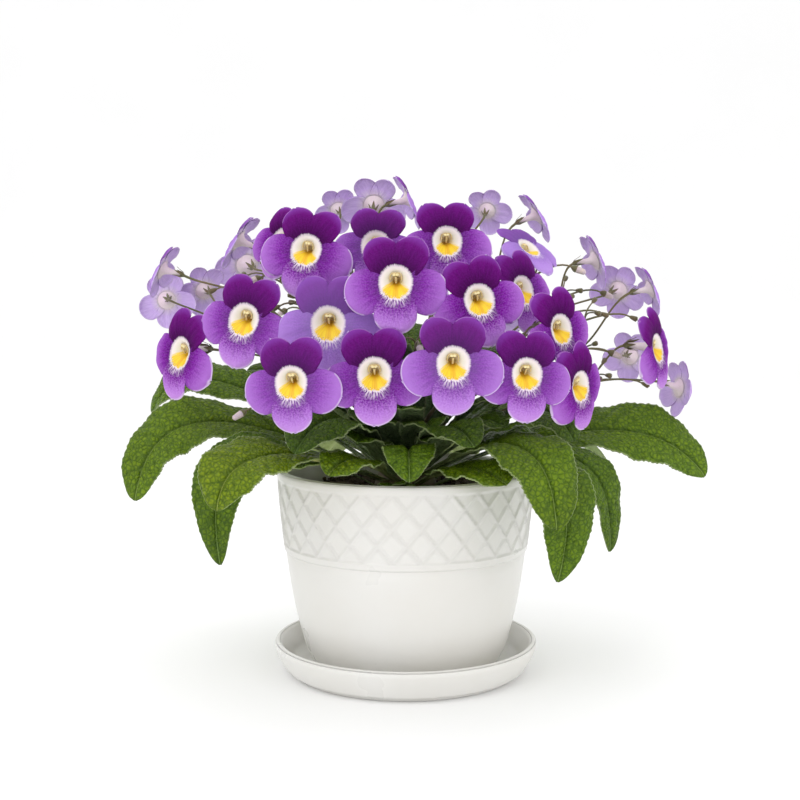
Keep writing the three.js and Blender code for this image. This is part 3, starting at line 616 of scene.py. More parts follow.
class Graph:
    """A node tree under construction."""

    def __init__(self, tree):
        self.tree = tree

    def feed(self, socket, value):
        """Links a signal to an input, or sets the input's value."""
        if isinstance(value, Signal):
            self.tree.links.new(value.socket, socket)
        else:
            socket.default_value = value

    def add(self, kind, inputs=None, **settings):
        """Adds a node, sets its properties and feeds its inputs by name or index."""
        node = self.tree.nodes.new(kind)
        for key, value in settings.items():
            setattr(node, key, value)
        for key, value in (inputs or {}).items():
            self.feed(node.inputs[key], value)
        return node

    def get(self, kind, inputs=None, output=0, **settings):
        """Adds a node and gives one of its outputs."""
        return Signal(self, self.add(kind, inputs, **settings).outputs[output])

    def outputs(self, node):
        """All outputs of a node by name."""
        return {socket.name: Signal(self, socket) for socket in node.outputs}

    def math(self, operation, a, b=0.0, clamp=False):
        """A math node's result."""
        return self.get("ShaderNodeMath", {0: a, 1: b}, operation=operation, use_clamp=clamp)

    def mix(self, factor, a, b, blend="MIX"):
        """A colour between a and b, or b blended onto a."""
        node = self.add("ShaderNodeMix", {0: factor}, data_type="RGBA", blend_type=blend)
        for index, colour in ((6, a), (7, b)):
            self.feed(node.inputs[index], colour if isinstance(colour, Signal) else (*colour, 1))
        return Signal(self, node.outputs[2])

    def ramp(self, factor, *stops):
        """A colour ramp through (position, value) stops; a value is a grey or a colour."""
        node = self.add("ShaderNodeValToRGB", {0: factor})
        elements = node.color_ramp.elements
        while len(elements) < len(stops):
            elements.new(0.5)
        for element, (position, value) in zip(elements, stops):
            element.position = position
            element.color = (*value, 1) if isinstance(value, (tuple, list)) else (value, value, value, 1)
        return Signal(self, node.outputs[0])

    def stretch(self, value, low, high):
        """Zero below low, one above high and straight between."""
        return self.get("ShaderNodeMapRange", {0: value, 1: low, 2: high})

    def noise(self, where, scale, detail):
        """Cloudy noise."""
        return self.get("ShaderNodeTexNoise", {"Vector": where, "Scale": scale, "Detail": detail})

    def cells(self, where, scale, feature="F1"):
        """The distance that a Voronoi pattern gives."""
        return self.get("ShaderNodeTexVoronoi", {"Vector": where, "Scale": scale}, feature=feature)

    def split(self, vector):
        """A vector's three parts."""
        return [Signal(self, socket) for socket in self.add("ShaderNodeSeparateXYZ", {0: vector}).outputs]

    def attribute(self, name, output="Fac"):
        """What each point stores under a name."""
        return self.get("ShaderNodeAttribute", None, output, attribute_name=name, attribute_type="GEOMETRY")

    def form(self):
        """The three values that each point stores for its material, together and apart."""
        form = self.attribute("form", "Vector")
        return form, self.split(form)

    def place(self):
        """The piece's own coordinates, in metres."""
        return self.get("ShaderNodeTexCoord", None, "Object")

    def group(self, name, **inputs):
        """Places a node group, feeds its inputs and gives its outputs by name."""
        return self.outputs(self.add("ShaderNodeGroup", inputs, node_tree=bpy.data.node_groups[name]))

    def mottle(self, where, scale, detail=4.0):
        """Soft clouding, as a mask."""
        return self.group("Mottle", Vector=where, Scale=scale, Detail=detail)["Mask"]

    def face(self, form):
        """A point's place on a flower's face: flat, reach, how far across and down, angle from below."""
        flat = self.get("ShaderNodeVectorMath", {0: form, 1: (1, 1, 0)}, operation="MULTIPLY")
        reach = self.get("ShaderNodeVectorMath", {0: flat}, "Value", operation="LENGTH")
        x, y, _ = self.split(flat)
        down = y * -1.0
        return flat, reach, x, down, self.math("ARCTAN2", x, down)

    def fan(self, angle, reach, across, along, shift=0.0):
        """Noise that is drawn out along the rays of a flower's face."""
        where = self.get("ShaderNodeCombineXYZ", {0: angle * across, 1: reach * along, 2: shift})
        return self.noise(where, 1.0, 2.0)


class Skin(Graph):
    """A material whose colour is built up in layers. shown is its colour outside a render, and the lowest."""

    def __init__(self, name, shown, roughness, inputs=None):
        material = bpy.data.materials.new(name)
        material.use_nodes = True
        material.diffuse_color = (*shown, 1)
        super().__init__(material.node_tree)
        self.tree.nodes.clear()
        self.colour = tuple(shown)
        self.shader = self.add("ShaderNodeBsdfPrincipled", {"Roughness": roughness, **(inputs or {})})
        out = self.add("ShaderNodeOutputMaterial")
        out.location.x = 400
        self.tree.links.new(self.shader.outputs[0], out.inputs["Surface"])

    def layer(self, factor, colour, blend="MIX"):
        """Lays a colour over what is there."""
        self.colour = self.mix(factor, self.colour, colour, blend)

    def finish(self, height=None, strength=0.0, distance=0.0):
        """Feeds the layers into the shader and a height, over millimetres of distance, into its normal."""
        self.feed(self.shader.inputs["Base Color"], self.colour)
        if height:
            bump = {"Strength": strength, "Distance": distance * MM, "Height": height}
            self.feed(self.shader.inputs["Normal"], self.get("ShaderNodeBump", bump))


class Group(Graph):
    """A shader node group with named inputs, each a value or, where its default is None, a vector."""

    def __init__(self, name, inputs, outputs):
        super().__init__(bpy.data.node_groups.new(name, "ShaderNodeTree"))
        for label, default in inputs.items():
            kind = "NodeSocketVector" if default is None else "NodeSocketFloat"
            socket = self.tree.interface.new_socket(label, in_out="INPUT", socket_type=kind)
            if default is not None:
                socket.default_value = default
        for label in outputs:
            self.tree.interface.new_socket(label, in_out="OUTPUT", socket_type="NodeSocketFloat")
        self.given = self.outputs(self.add("NodeGroupInput"))
        self.result = self.add("NodeGroupOutput").inputs

    def give(self, **values):
        """Links the group's results."""
        for label, value in values.items():
            self.feed(self.result[label], value)


def shade(colour, factor):
    """A colour times a number, or times one number for each of its parts."""
    return tuple(np.minimum(np.multiply(colour, factor), 1).tolist())


# ---------------------------------------------------------------- shared effects


def build_mottle_group():
    """Soft cloudy variation of a colour, for living tissue, glaze and soil."""
    group = Group("Mottle", {"Vector": None, "Scale": 60.0, "Detail": 4.0}, ["Mask"])
    cloud = group.noise(group.given["Vector"], group.given["Scale"], group.given["Detail"])
    group.give(Mask=group.stretch(cloud, 0.32, 0.68))


def build_face_marks_group():
    """The marks of a flower's face, in face coordinates that are one at the throat's rim.

    Reach is the distance from the throat's middle. Streaks fan out from it, the ragged white round the rim
    grows into flames on the lip, and deep dashes stand between them. The lip also has a yellow hem and dots.
    """
    marks = ["Reach", "Streaks", "Speckle", "White", "Deep", "Hem", "Dots"]
    group = Group("Face marks", {"Form": None, "Lip": 0.0}, marks)
    ramp = group.ramp
    flat, reach, x, down, angle = group.face(group.given["Form"])
    fan = partial(group.fan, angle, reach)
    half = reach * 0.5
    below = ramp(down, (0.3, 0.0), (0.7, 1.0))
    on_lip = ramp(group.math("ABSOLUTE", x), (0.5, 1.0), (0.95, 0.0)) * below * group.given["Lip"]
    ring = ramp(reach - fan(17.0, 0.5, 3.0) * (below * 0.16 + 0.2), (0.84, 1.0), (0.95, 0.0))
    near = ramp(half, (0.54, 1.0), (0.8, 0.0)) * on_lip
    flames = ramp(fan(14.0, 1.7, 7.0), (0.47, 0.0), (0.54, 1.0)) * near
    far = ramp(half, (0.6, 1.0), (1.02, 0.0)) * on_lip
    belt = ramp(half, (0.46, 0.0), (0.49, 1.0), (0.56, 1.0), (0.61, 0.0)) * on_lip
    group.give(
        Reach=reach,
        Streaks=group.stretch(fan(20.0, 1.2), 0.38, 0.62),
        Speckle=group.stretch(group.noise(flat, 10.0, 3.0), 0.42, 0.6),
        White=group.math("MAXIMUM", ring, flames),
        Deep=ramp(fan(16.0, 5.0, 9.0), (0.52, 0.0), (0.57, 1.0)) * far,
        Hem=ramp(reach - fan(15.0, 0.5, 5.0) * 0.4, (0.74, 1.0), (0.8, 0.0)) * on_lip,
        Dots=ramp(group.cells(flat, 7.5), (0.2, 1.0), (0.3, 0.0)) * belt,
    )


def build_down_group():
    """The fine down on leaves and stalks: a stippled mask and a height."""
    group = Group("Down", {"Vector": None, "Scale": 1400.0}, ["Mask", "Height"])
    where, scale = group.given["Vector"], group.given["Scale"]
    stipple = group.noise(where, scale, 2.0)
    blister = group.cells(where, scale * 0.42, "SMOOTH_F1")
    group.give(Mask=group.stretch(stipple, 0.45, 0.7), Height=stipple * 0.5 - blister)


# ---------------------------------------------------------------- materials


TISSUE = {"Subsurface Weight": 0.1, "Subsurface Radius": (0.0012, 0.0006, 0.0014)}
FACE_SPAN = 0.53  # turns a lobe's reach past the throat's rim into about zero to one


def build_petal(name, colours, rim, rim_from, lip):
    """A petal's face: deep at the throat, lighter outwards, streaked and speckled, with a fine pale rim."""
    skin = Skin(name, colours[1], 0.75, {"Specular IOR Level": 0.06, **TISSUE})
    form, (_, _, edge) = skin.form()
    marks = skin.group("Face marks", Form=form, Lip=lip)
    out = (marks["Reach"] - 1.0) * FACE_SPAN
    near = skin.math("SUBTRACT", 1.0, out, clamp=True)
    skin.colour = skin.ramp(out, *zip((0.05, 0.38, 0.72, 1.0), colours))
    skin.layer(marks["Streaks"] * near * (0.6 + 0.2 * lip), shade(colours[0], 0.55))
    skin.layer(marks["Speckle"] * (out * 0.5 + 0.22) * (0.25 + 0.75 * lip * lip), colours[3])
    skin.layer(skin.ramp(edge, (0.7, 0.0), (0.97, 0.35)), colours[3])
    skin.layer(marks["Deep"] * 0.9, (0.07, 0.004, 0.13))
    skin.layer(skin.ramp(edge, (rim_from, 0.0), (0.985, 0.8)), rim)
    pale = skin.math("POWER", skin.attribute("pale"), 1.0 if lip else 1.6)
    skin.layer(pale * 0.75, (0.44, 0.3, 0.74) if lip else (0.3, 0.15, 0.56))
    skin.layer(marks["White"] * 0.92, (0.86, 0.76, 0.84))
    if lip:
        skin.layer(marks["Hem"], (0.9, 0.62, 0.03))
        skin.layer(marks["Dots"] * 0.85, (0.13, 0.02, 0.1))
    skin.finish(marks["Streaks"] + marks["Speckle"] * 0.5, 0.3, 0.2)


def build_petal_back(base):
    """The petals' pale backs, with veins that show through and a whitish middle."""
    skin = Skin("petal_back", base, 0.7, {"Specular IOR Level": 0.2, **TISSUE})
    form, (_, _, edge) = skin.form()
    marks = skin.group("Face marks", Form=form)
    out = (marks["Reach"] - 1.0) * FACE_SPAN
    skin.colour = skin.ramp(out, (0.0, (0.78, 0.68, 0.8)), (0.4, base), (1.0, shade(base, 0.95)))
    skin.layer(marks["Streaks"] * 0.3, (0.44, 0.28, 0.7))
    skin.layer(skin.ramp(edge, (0.9, 0.0), (1.0, 0.5)), (0.75, 0.65, 0.85))
    skin.finish(marks["Streaks"], 0.25, 0.25)


def build_throat(bright):
    """The throat: a pinkish white ring, a cream roof and a yellow bell with a dotted, ragged hem, both
    darkened towards the tube by painted shade.
    """
    skin = Skin("throat", (0.85, 0.8, 0.7), 0.5, TISSUE)
    ramp = skin.ramp
    flat, reach, x, down, angle = skin.face(skin.attribute("form", "Vector"))
    rays = skin.fan(angle, reach, 13.0, 1.0)
    wobble = rays - 0.5
    off = skin.math("ABSOLUTE", x)
    bell = ramp(down - skin.math("POWER", off, 2.0) * 0.6 + wobble * 0.7, (0.0, 0.0), (0.14, 1.0))
    hem = reach + wobble * 0.75
    yellow = ramp(off, (0.0, shade(bright, (0.9, 0.72, 0.6))), (0.2, bright))
    # Painted shade: the yellow turns brownish orange near the tube's opening.
    yellow = skin.mix(ramp(reach, (0.1, 0.7), (0.55, 0.0)), yellow, (0.5, 0.24, 0.02))
    yellow = skin.mix(ramp(rays, (0.42, 0.5), (0.56, 0.0)), yellow, shade(bright, (0.8, 0.58, 0.5)))
    # The roof's cream darkens to brownish yellow towards the tube: painted shade of the throat's depth.
    creams_shaded_inwards = ((0.66, 0.52, 0.24), (0.74, 0.66, 0.48), (0.76, 0.71, 0.62), (0.88, 0.79, 0.82))
    skin.colour = ramp(reach, *zip((0.0, 0.3, 0.6, 0.95), creams_shaded_inwards))
    skin.layer(bell * ramp(hem, (0.92, 1.0), (1.0, 0.0)), yellow)
    band = ramp(hem, (0.8, 0.0), (0.88, 1.0), (1.0, 0.0)) * ramp(down, (0.35, 0.0), (0.6, 1.0))
    skin.layer(ramp(skin.cells(flat, 8.0), (0.16, 1.0), (0.26, 0.0)) * band * 0.75, (0.16, 0.04, 0.1))
    skin.finish(rays, 0.3, 0.3)


def build_plain_tissue(name, colour, second, roughness, scale):
    """Mottled living tissue in two tones with fine down, for tubes, stalks, sepals, buds and stamens."""
    skin = Skin(name, colour, roughness, {"Sheen Weight": 0.25, "Sheen Roughness": 0.5})
    where = skin.place()
    down = skin.group("Down", Vector=where, Scale=2200.0)
    skin.layer(skin.mottle(where, scale), second)
    skin.layer(down["Mask"] * 0.22, tuple(min(1, c * 1.6 + 0.06) for c in colour))
    skin.finish(down["Height"], 0.3, 0.15)


def build_leaf(name, base, roughness):
    """A leaf's skin: pale veins and margin, down, and on its face painted highlights on the blisters' tops
    and painted shade in the creases between them.
    """
    radius = (0.0006, 0.0012, 0.0003)
    inputs = {"Specular IOR Level": 0.2, "Subsurface Weight": 0.06, "Subsurface Radius": radius}
    skin = Skin(name, base, roughness, inputs)
    ramp = skin.ramp
    _, (vein, edge, puff) = skin.form()
    where = skin.place()
    fine = skin.mottle(where, 420.0, 3.0)
    down = skin.group("Down", Vector=where, Scale=1100.0)
    blister = ramp(skin.cells(where, 430.0, "DISTANCE_TO_EDGE"), (0.02, 0.0), (0.3, 1.0))
    light, dark = shade(base, (2.1, 1.65, 1.8)), shade(base, (0.34, 0.42, 0.5))
    skin.colour = skin.mix(skin.mottle(where, 36.0), shade(base, 0.72), shade(base, 1.15))
    if name == "leaf_face":
        # Painted shade: darker green in the creases and along the cells' borders. Painted highlight: the
        # paler green light colour on the blisters' tops.
        skin.layer(ramp(puff, (0.3, 0.7), (0.6, 0.0)), dark)
        skin.layer(ramp(blister, (0.0, 0.6), (0.55, 0.0)), dark)
        skin.layer(blister * ramp(puff, (0.3, 0.1), (0.95, 0.75)), light)
        skin.layer(ramp(vein, (0.8, 0.0), (1.0, 0.7)), (0.3, 0.42, 0.12))
    else:
        skin.layer(ramp(vein, (0.3, 0.0), (0.9, 0.6)), (0.42, 0.52, 0.26))
    skin.layer(fine * 0.15, light)
    # Per-leaf tone, partly real variation and partly painted light and shade: darker and bluer for leaves in
    # the plant's shaded middle, paler and yellower for lit ones.
    tone_and_shading_tint = ramp(skin.attribute("tone"), (0.0, (0.42, 0.5, 0.6)), (0.5, (1, 1, 1)), (1.0, (1.5, 1.22, 1.0)))
    skin.layer(1.0, tone_and_shading_tint, "MULTIPLY")
    skin.layer(down["Mask"] * 0.07, (0.32, 0.44, 0.12))
    skin.layer(ramp(edge, (0.95, 0.0), (0.99, 0.55)), (0.42, 0.5, 0.24))
    skin.finish(down["Height"] + fine + blister * 1.6, 0.55, 0.5)


def build_glaze(colour):
    """A white glaze with a soft gloss, faint clouding and a slight orange-peel surface."""
    skin = Skin("white_glaze", colour, 0.3, {"Coat Weight": 0.25, "Coat Roughness": 0.18, "IOR": 1.5})
    where = skin.place()
    cloud = skin.mottle(where, 18.0)
    skin.layer(cloud, shade(colour, (0.965, 0.955, 0.935)))
    skin.feed(skin.shader.inputs["Roughness"], skin.get("ShaderNodeMapRange", {0: cloud, 3: 0.26, 4: 0.36}))
    skin.finish(skin.mottle(where, 240.0, 2.0), 0.06, 0.2)


def build_soil(colour):
    """Moist potting soil: dark crumbs with paler fibres."""
    skin = Skin("potting_soil", colour, 0.95)
    where = skin.place()
    crumbs = skin.mottle(where, 330.0, 6.0)
    fibres = skin.ramp(skin.mottle(where, 900.0, 2.0), (0.86, 0.0), (0.97, 1.0))
    skin.layer(crumbs, shade(colour, 3.4))
    skin.layer(fibres * 0.5, (0.24, 0.17, 0.1))
    skin.finish(crumbs, 0.9, 1.0)


class PLANT_OT_finishes(bpy.types.Operator):
    """Build every material of the plant, the pot and the soil"""

    bl_idname = "plant.finishes"
    bl_label = "Finishes"

    def execute(self, context):
        flower, leaf, pot = context.scene.flower, context.scene.leaf, context.scene.plant_pot
        build_mottle_group()
        build_face_marks_group()
        build_down_group()
        upper, lower, outer = tuple(flower.upper), tuple(flower.lower), tuple(flower.outer)
        near = shade(lower, 0.6)
        middle = tuple((a + b) / 2 for a, b in zip(lower, outer))
        rim = (0.78, 0.66, 0.86)
        velvet = [shade(upper, 0.55), upper, shade(upper, 1.3), (0.2, 0.035, 0.32)]
        build_petal("petal_upper", velvet, (0.4, 0.18, 0.52), 0.94, 0.0)
        build_petal("petal_side", [near, lower, middle, shade(outer, 0.95)], rim, 0.93, 0.7)
        build_petal("petal_lip", [near, lower, outer, (0.53, 0.26, 0.7)], rim, 0.91, 1.0)
        build_petal_back(tuple(flower.back))
        build_throat(tuple(flower.yellow))
        build_plain_tissue("flower_tube", (0.76, 0.58, 0.68), (0.84, 0.74, 0.72), 0.6, 120.0)
        build_plain_tissue("anther", (0.76, 0.6, 0.26), (0.84, 0.74, 0.45), 0.7, 900.0)
        # The filaments' and style's tan-brown is partly their own colour and partly painted shade: it stands
        # in for the shadow under the throat's roof.
        build_plain_tissue("filament", (0.5, 0.36, 0.13), (0.66, 0.52, 0.26), 0.7, 700.0)
        build_plain_tissue("stalk_skin", tuple(leaf.stalk), (0.17, 0.12, 0.05), 0.6, 60.0)
        build_plain_tissue("sepal", (0.1, 0.11, 0.03), (0.13, 0.075, 0.035), 0.6, 300.0)
        build_plain_tissue("bud", (0.62, 0.5, 0.44), (0.5, 0.4, 0.5), 0.6, 400.0)
        build_leaf("leaf_face", tuple(leaf.face), 0.42)
        build_leaf("leaf_under", tuple(leaf.under), 0.65)
        build_glaze(tuple(pot.glaze))
        build_soil(tuple(pot.soil))
        return {"FINISHED"}


# ---------------------------------------------------------------- saucer, pot and soil


def smooth_outline(heights):
    """The pot's outer radii at heights, on a smooth curve through its outline points."""
    radii, knots = columns(POT_OUTLINE)
    slopes = np.gradient(radii, knots)
    i = np.clip(np.searchsorted(knots, heights) - 1, 0, len(knots) - 2)
    span = knots[i + 1] - knots[i]
    t = (heights - knots[i]) / span
    near = (2 * t**3 - 3 * t**2 + 1) * radii[i] + (t**3 - 2 * t**2 + t) * span * slopes[i]
    return near + (3 * t**2 - 2 * t**3) * radii[i + 1] + (t**3 - t**2) * span * slopes[i + 1]


WALL_HEIGHTS = np.linspace(POT_FOOT, POT_RIM, 300)
WALL_RADII = smooth_outline(WALL_HEIGHTS)


def outline_radius(z):
    """The pot's outer radius at a height or heights."""
    return np.interp(z, WALL_HEIGHTS, WALL_RADII)


def rounded(corner, before, after, size, steps=5):
    """Points of a round in place of an outline's corner, between its two neighbours."""
    corner, before, after = (np.array(p, float) for p in (corner, before, after))
    start = corner + unit(before - corner) * size
    end = corner + unit(after - corner) * size
    return [tuple(p) for p in bezier((start, corner, end), np.linspace(0, 1, steps))]


def round_outline(outline):
    """An outline of (radius, height, round) points with each round corner drawn."""
    points = []
    for i, (r, z, size) in enumerate(outline):
        before, after = outline[i - 1][:2], outline[(i + 1) % len(outline)][:2]
        points += rounded((r, z), before, after, size) if size else [(r, z)]
    return points


def bore(clearance):
    """The pot's inner radius at a height, less a clearance."""
    return lambda z: outline_radius(z) - POT["wall"] - clearance


class PLANT_OT_saucer(bpy.types.Operator):
    """Turn the saucer, with its foot, flared wall and round rim"""

    bl_idname = "plant.saucer"
    bl_label = "Saucer"

    def execute(self, context):
        s = SAUCER
        flare = (s["rim"] - s["body"]) / (s["height"] - s["foot_height"])
        inner = lambda z: s["body"] + flare * (z - s["foot_height"]) - s["wall"]
        outline = [
            (0, 0, 0),
            (s["foot"], 0, 1),
            (s["foot"] + 0.2, s["foot_height"] - 0.5, 0.4),
            (s["body"] + 0.6, s["foot_height"] + 0.1, 0.6),
            (s["rim"] - 1.8, s["height"] * 0.56, 3),
            (s["rim"], s["height"] - 2.4, 1.6),
            (s["rim"] - 1.6, s["height"], 1.5),
            (s["rim"] - 3.8, s["height"] - 1.2, 1.2),
            (inner(s["floor"] + 2), s["floor"] + 2, 2),
            (inner(s["floor"]) - 3, s["floor"], 2),
            (0, s["floor"], 0),
        ]
        obj = turned("saucer_glazed", round_outline(outline), SAUCER_SIDES, "white_glaze")
        place_piece(obj, "glaze", "saucer")
        return {"FINISHED"}


def net_height(bearing, z, width):
    """How far the raised net stands above its ground at bearings (in radians) and heights."""
    low, high = BAND["net"]
    cell = (high - low) / BAND["rows"]
    half_pitch = math.pi * NET_RADIUS / BAND["diamonds"]
    rise, turn = (z - low) / cell, bearing * BAND["diamonds"] / math.pi
    off = np.minimum(*[np.abs(lines % 2 - 1) for lines in (rise + turn, rise - turn)])
    distance = off * cell * half_pitch / math.hypot(cell, half_pitch)
    ridge = 1 - smooth(distance, width * 0.2, width * 0.85)
    inside = smooth(z, low - 0.6, low + 0.4) * (1 - smooth(z, high - 0.9, high + 0.1))
    return np.maximum(ridge, 1 - inside)


class PLANT_OT_pot(bpy.types.Operator):
    """Turn the pot, raise the net of its band, and round its rim and foot"""

    bl_idname = "plant.pot"
    bl_label = "Pot"

    def execute(self, context):
        inside = bore(0)
        floor_top = POT_FOOT + POT["floor"]
        foot_inner = POT["foot"] - POT["foot_width"]
        low, high = BAND["net"]
        bottom, proud = BAND["bottom"], BAND["proud"]
        outline = [
            (POT["foot"] - 0.2, POT_FOOT, 0.8),
            (POT["foot"] + 0.9, POT_FOOT + 1.2, 0.6),
            *[(outline_radius(z), z, 0) for z in np.linspace(8, bottom - 1.6, WALL_RINGS)],
            (outline_radius(bottom - 1.1) - 0.25, bottom - 1.1, 0.3),
            (outline_radius(bottom) + proud, bottom - 0.2, 0.5),
            (outline_radius(bottom) + proud, bottom + 1.6, 0),
            *[(outline_radius(z) + proud, z, 0) for z in np.linspace(low - 1, high + 0.8, BAND_RINGS)],
            (POT["rim"] + 0.7, POT_RIM - 1.2, 1.1),
            (POT["rim"] - 0.6, POT_RIM, 1.1),
            (POT["rim"] - 3.9, POT_RIM - 0.4, 1.2),
            (inside(POT_RIM - 6), POT_RIM - 6, 2),
            (inside(50), 50, 4),
            (inside(20), 20, 4),
            (inside(floor_top + 2) - 2, floor_top, 2),
            (POT["drain"], floor_top, 0.6),
            (POT["drain"], POT_FOOT + POT["foot_height"], 0.6),
            (foot_inner - 1, POT_FOOT + POT["foot_height"], 0.6),
            (foot_inner, POT_FOOT, 0.4),
        ]
        profile = round_outline(outline)
        sides = BAND["diamonds"] * SIDES_A_DIAMOND
        obj = turned("pot_glazed", [*profile, profile[0]], sides, "white_glaze")
        co = get_points(obj.data)
        reach = np.hypot(co[:, 0], co[:, 1])
        bearing = np.arctan2(co[:, 0], -co[:, 1])
        here = (outline_radius(co[:, 2]) < reach - 0.3) & (co[:, 2] > low - 0.95) & (co[:, 2] < high + 0.75)
        rise = net_height(bearing[here], co[here, 2], context.scene.plant_pot.ridge / MM)
        co[here, :2] *= (1 - (1 - rise) * BAND["relief"] / reach[here])[:, None]
        set_points(obj.data, co)
        place_piece(obj, "glaze", "pot")
        return {"FINISHED"}


class PLANT_OT_soil(bpy.types.Operator):
    """Fill the pot with crumbly soil"""

    bl_idname = "plant.soil"
    bl_label = "Soil"

    def execute(self, context):
        random.seed(7)
        inside = bore(GAP)
        floor_top = POT_FOOT + POT["floor"]
        outline = [
            (0, floor_top),
            (inside(floor_top + 2) - 2.6, floor_top),
            (inside(20) - 0.4, 20),
            (inside(50) - 0.3, 50),
            (inside(SOIL_TOP - 2), SOIL_TOP - 2),
            *[(r, SOIL_TOP) for r in np.linspace(59, CROWN_HOLE + 0.7, 30)],
            (CROWN_HOLE, SOIL_TOP),
            (CROWN_HOLE, SOIL_TOP - 12),
            (0, SOIL_TOP - 12),
        ]
        bed = turned("soil_bed", outline, 96, "potting_soil")
        co = get_points(bed.data)
        for i in np.nonzero(co[:, 2] > SOIL_TOP - 1)[0]:
            p = Vector(co[i])
            co[i, 2] += 1.1 * noise.noise(p * 0.09) + 0.7 * noise.noise(p * 0.33)
        set_points(bed.data, co)
        crumb = ball("crumb", (0, 0, 0), (1, 1, 1), "potting_soil", 8)
        crumbs = [bed]
        for i in range(CRUMBS):
            one = copy_of(crumb, "crumb")
            size = random.uniform(0.7, 1.9)
            squash = np.array([random.uniform(0.7, 1.2) for _ in range(3)])
            shape = get_points(one.data)
            shape *= size * squash * (1 + 0.25 * np.sin(shape * 5 + i))
            place = polar(random.uniform(0, 360), random.uniform(20, 58), SOIL_TOP + size * 0.35)
            set_points(one.data, shape + np.array(place))
            crumbs.append(one)
        discard([crumb])
        place_piece(join(crumbs, "soil_crumbly"), "soil", "soil")
        return {"FINISHED"}


# ---------------------------------------------------------------- leaves


def blade_width(s, half, taper):
    """Half width of a blade at shares s of its length."""
    b = np.clip((s - PETIOLE_SHARE) / (1 - PETIOLE_SHARE), 0, 1)
    return half * np.maximum(np.sin(np.pi * b**1.12), 0) ** taper


def leaf_place(leaf, base_reach, settings):
    """The mapping from a grid's u across and v along to a leaf's points, with its veins as form."""
    controls = [
        polar(leaf.bearing, base_reach, leaf.base),
        polar(leaf.bearing + 0.4 * leaf.swing, *leaf.shoulder),
        polar(leaf.bearing + leaf.swing, *leaf.tip),
    ]
    a, b, c = (np.array(p) for p in controls)
    length = np.linalg.norm(np.diff(bezier(controls, np.linspace(0, 1, 40)), axis=0), axis=1).sum()
    seed = leaf.bearing * 0.37

    def place(u, v):
        s, t = v, 2 * u - 1
        column = s[:, None]
        spine = bezier(controls, s)
        along = unit((1 - column) * (b - a) + column * (c - b))
        turn = np.radians(leaf.bearing + leaf.swing * s)
        level = np.stack([-np.cos(turn), -np.sin(turn), np.zeros_like(s)], axis=1)
        side = unit(level - along * (level * along).sum(1, keepdims=True))
        roll = np.radians(leaf.roll) * np.sin(column * np.pi / 2)
        side = side * np.cos(roll) + np.cross(along, side) * np.sin(roll)
        normal = np.cross(side, along)

        full = blade_width(s, 1, leaf.taper)
        width = np.maximum(leaf.half * full, PETIOLE * (1 - 0.75 * s))
        edge = np.abs(t)
        tooth = 0.5 - 0.5 * np.cos(2 * np.pi * settings.teeth * s + 0.6 * np.sin(9 * s + seed))
        width = width * (1 - 0.05 * edge**6 * tooth * smooth(full, 0.2, 0.5))
        waving = np.sin(s * 2 * np.pi * 3.1 + np.where(t > 0, 0, 2.1) + leaf.bearing)
        wave = 0.1 * leaf.half * edge**2 * full * waving
        ruffling = np.sin(s * 2 * np.pi * 9 + np.where(t > 0, 1.3, 0) + seed)
        ruffle = 0.035 * leaf.half * edge**4 * full * ruffling
        lift = width * (0.3 * edge - 0.24 * edge**2) + wave + ruffle

        # Side veins leave the midrib forwards. The blade puffs up between them and in a finer net.
        off = edge * width
        forward = s * length - 0.75 * off - 0.012 * off**2
        phase = forward / (settings.vein_spacing / MM) + np.where(t > 0, 0.35, 0)
        ribs = np.abs(np.sin(np.pi * phase)) ** 0.6
        midrib = np.exp(-((off / 1.1) ** 2))
        pattern = np.stack([t * width, s * length, np.full_like(s, seed * 7)], axis=1) * 0.34
        net = np.array([noise.voronoi(Vector(p))[0][:2] for p in pattern])
        cell = np.sqrt(np.clip((net[:, 1] - net[:, 0]) * 2, 0, 1))
        grown = smooth(full, 0.2, 0.7) * (1 - edge**6)
        puff = (0.4 * ribs + 0.6 * cell) * (1 - midrib)
        groove = 0.9 * midrib * (1 - 0.6 * s) * smooth(s, 0.03, 0.15)
        relief = settings.quilt / MM * grown * (1.5 * puff - 0.9) - groove
        side_vein = 0.7 * (1 - smooth(ribs, 0.15, 0.5)) * (1 - 0.5 * edge)
        points = spine + side * (t * width)[:, None] + normal * (lift + relief)[:, None]
        return points, (np.maximum(side_vein, midrib), edge, puff * (1 - 0.25 * edge**3))

    return place


def grow_leaf(leaf, base_reach, settings, grid=BLADE_GRID):
    """One blade with a solid thickness, its face and its underside finished apart."""
    place = leaf_place(leaf, base_reach, settings)
    obj = sheet(leaf.node + "_blade", *grid, place, "leaf_face", "leaf_under")
    thicken(obj, settings.thickness, 0)
    set_value(obj.data, "tone", leaf.tone)
    return obj


class PLANT_OT_leaves(bpy.types.Operator):
    """Grow the leaves: toothed and waved blades, quilted between their veins"""

    bl_idname = "plant.leaves"
    bl_label = "Leaves"

    def execute(self, context):
        for leaf in LEAVES:
            obj = grow_leaf(leaf, crown_reach(leaf.base) + GAP + 0.3, context.scene.leaf)
            place_piece(obj, "leaf", leaf.node)
        return {"FINISHED"}


# ---------------------------------------------------------------- blooms


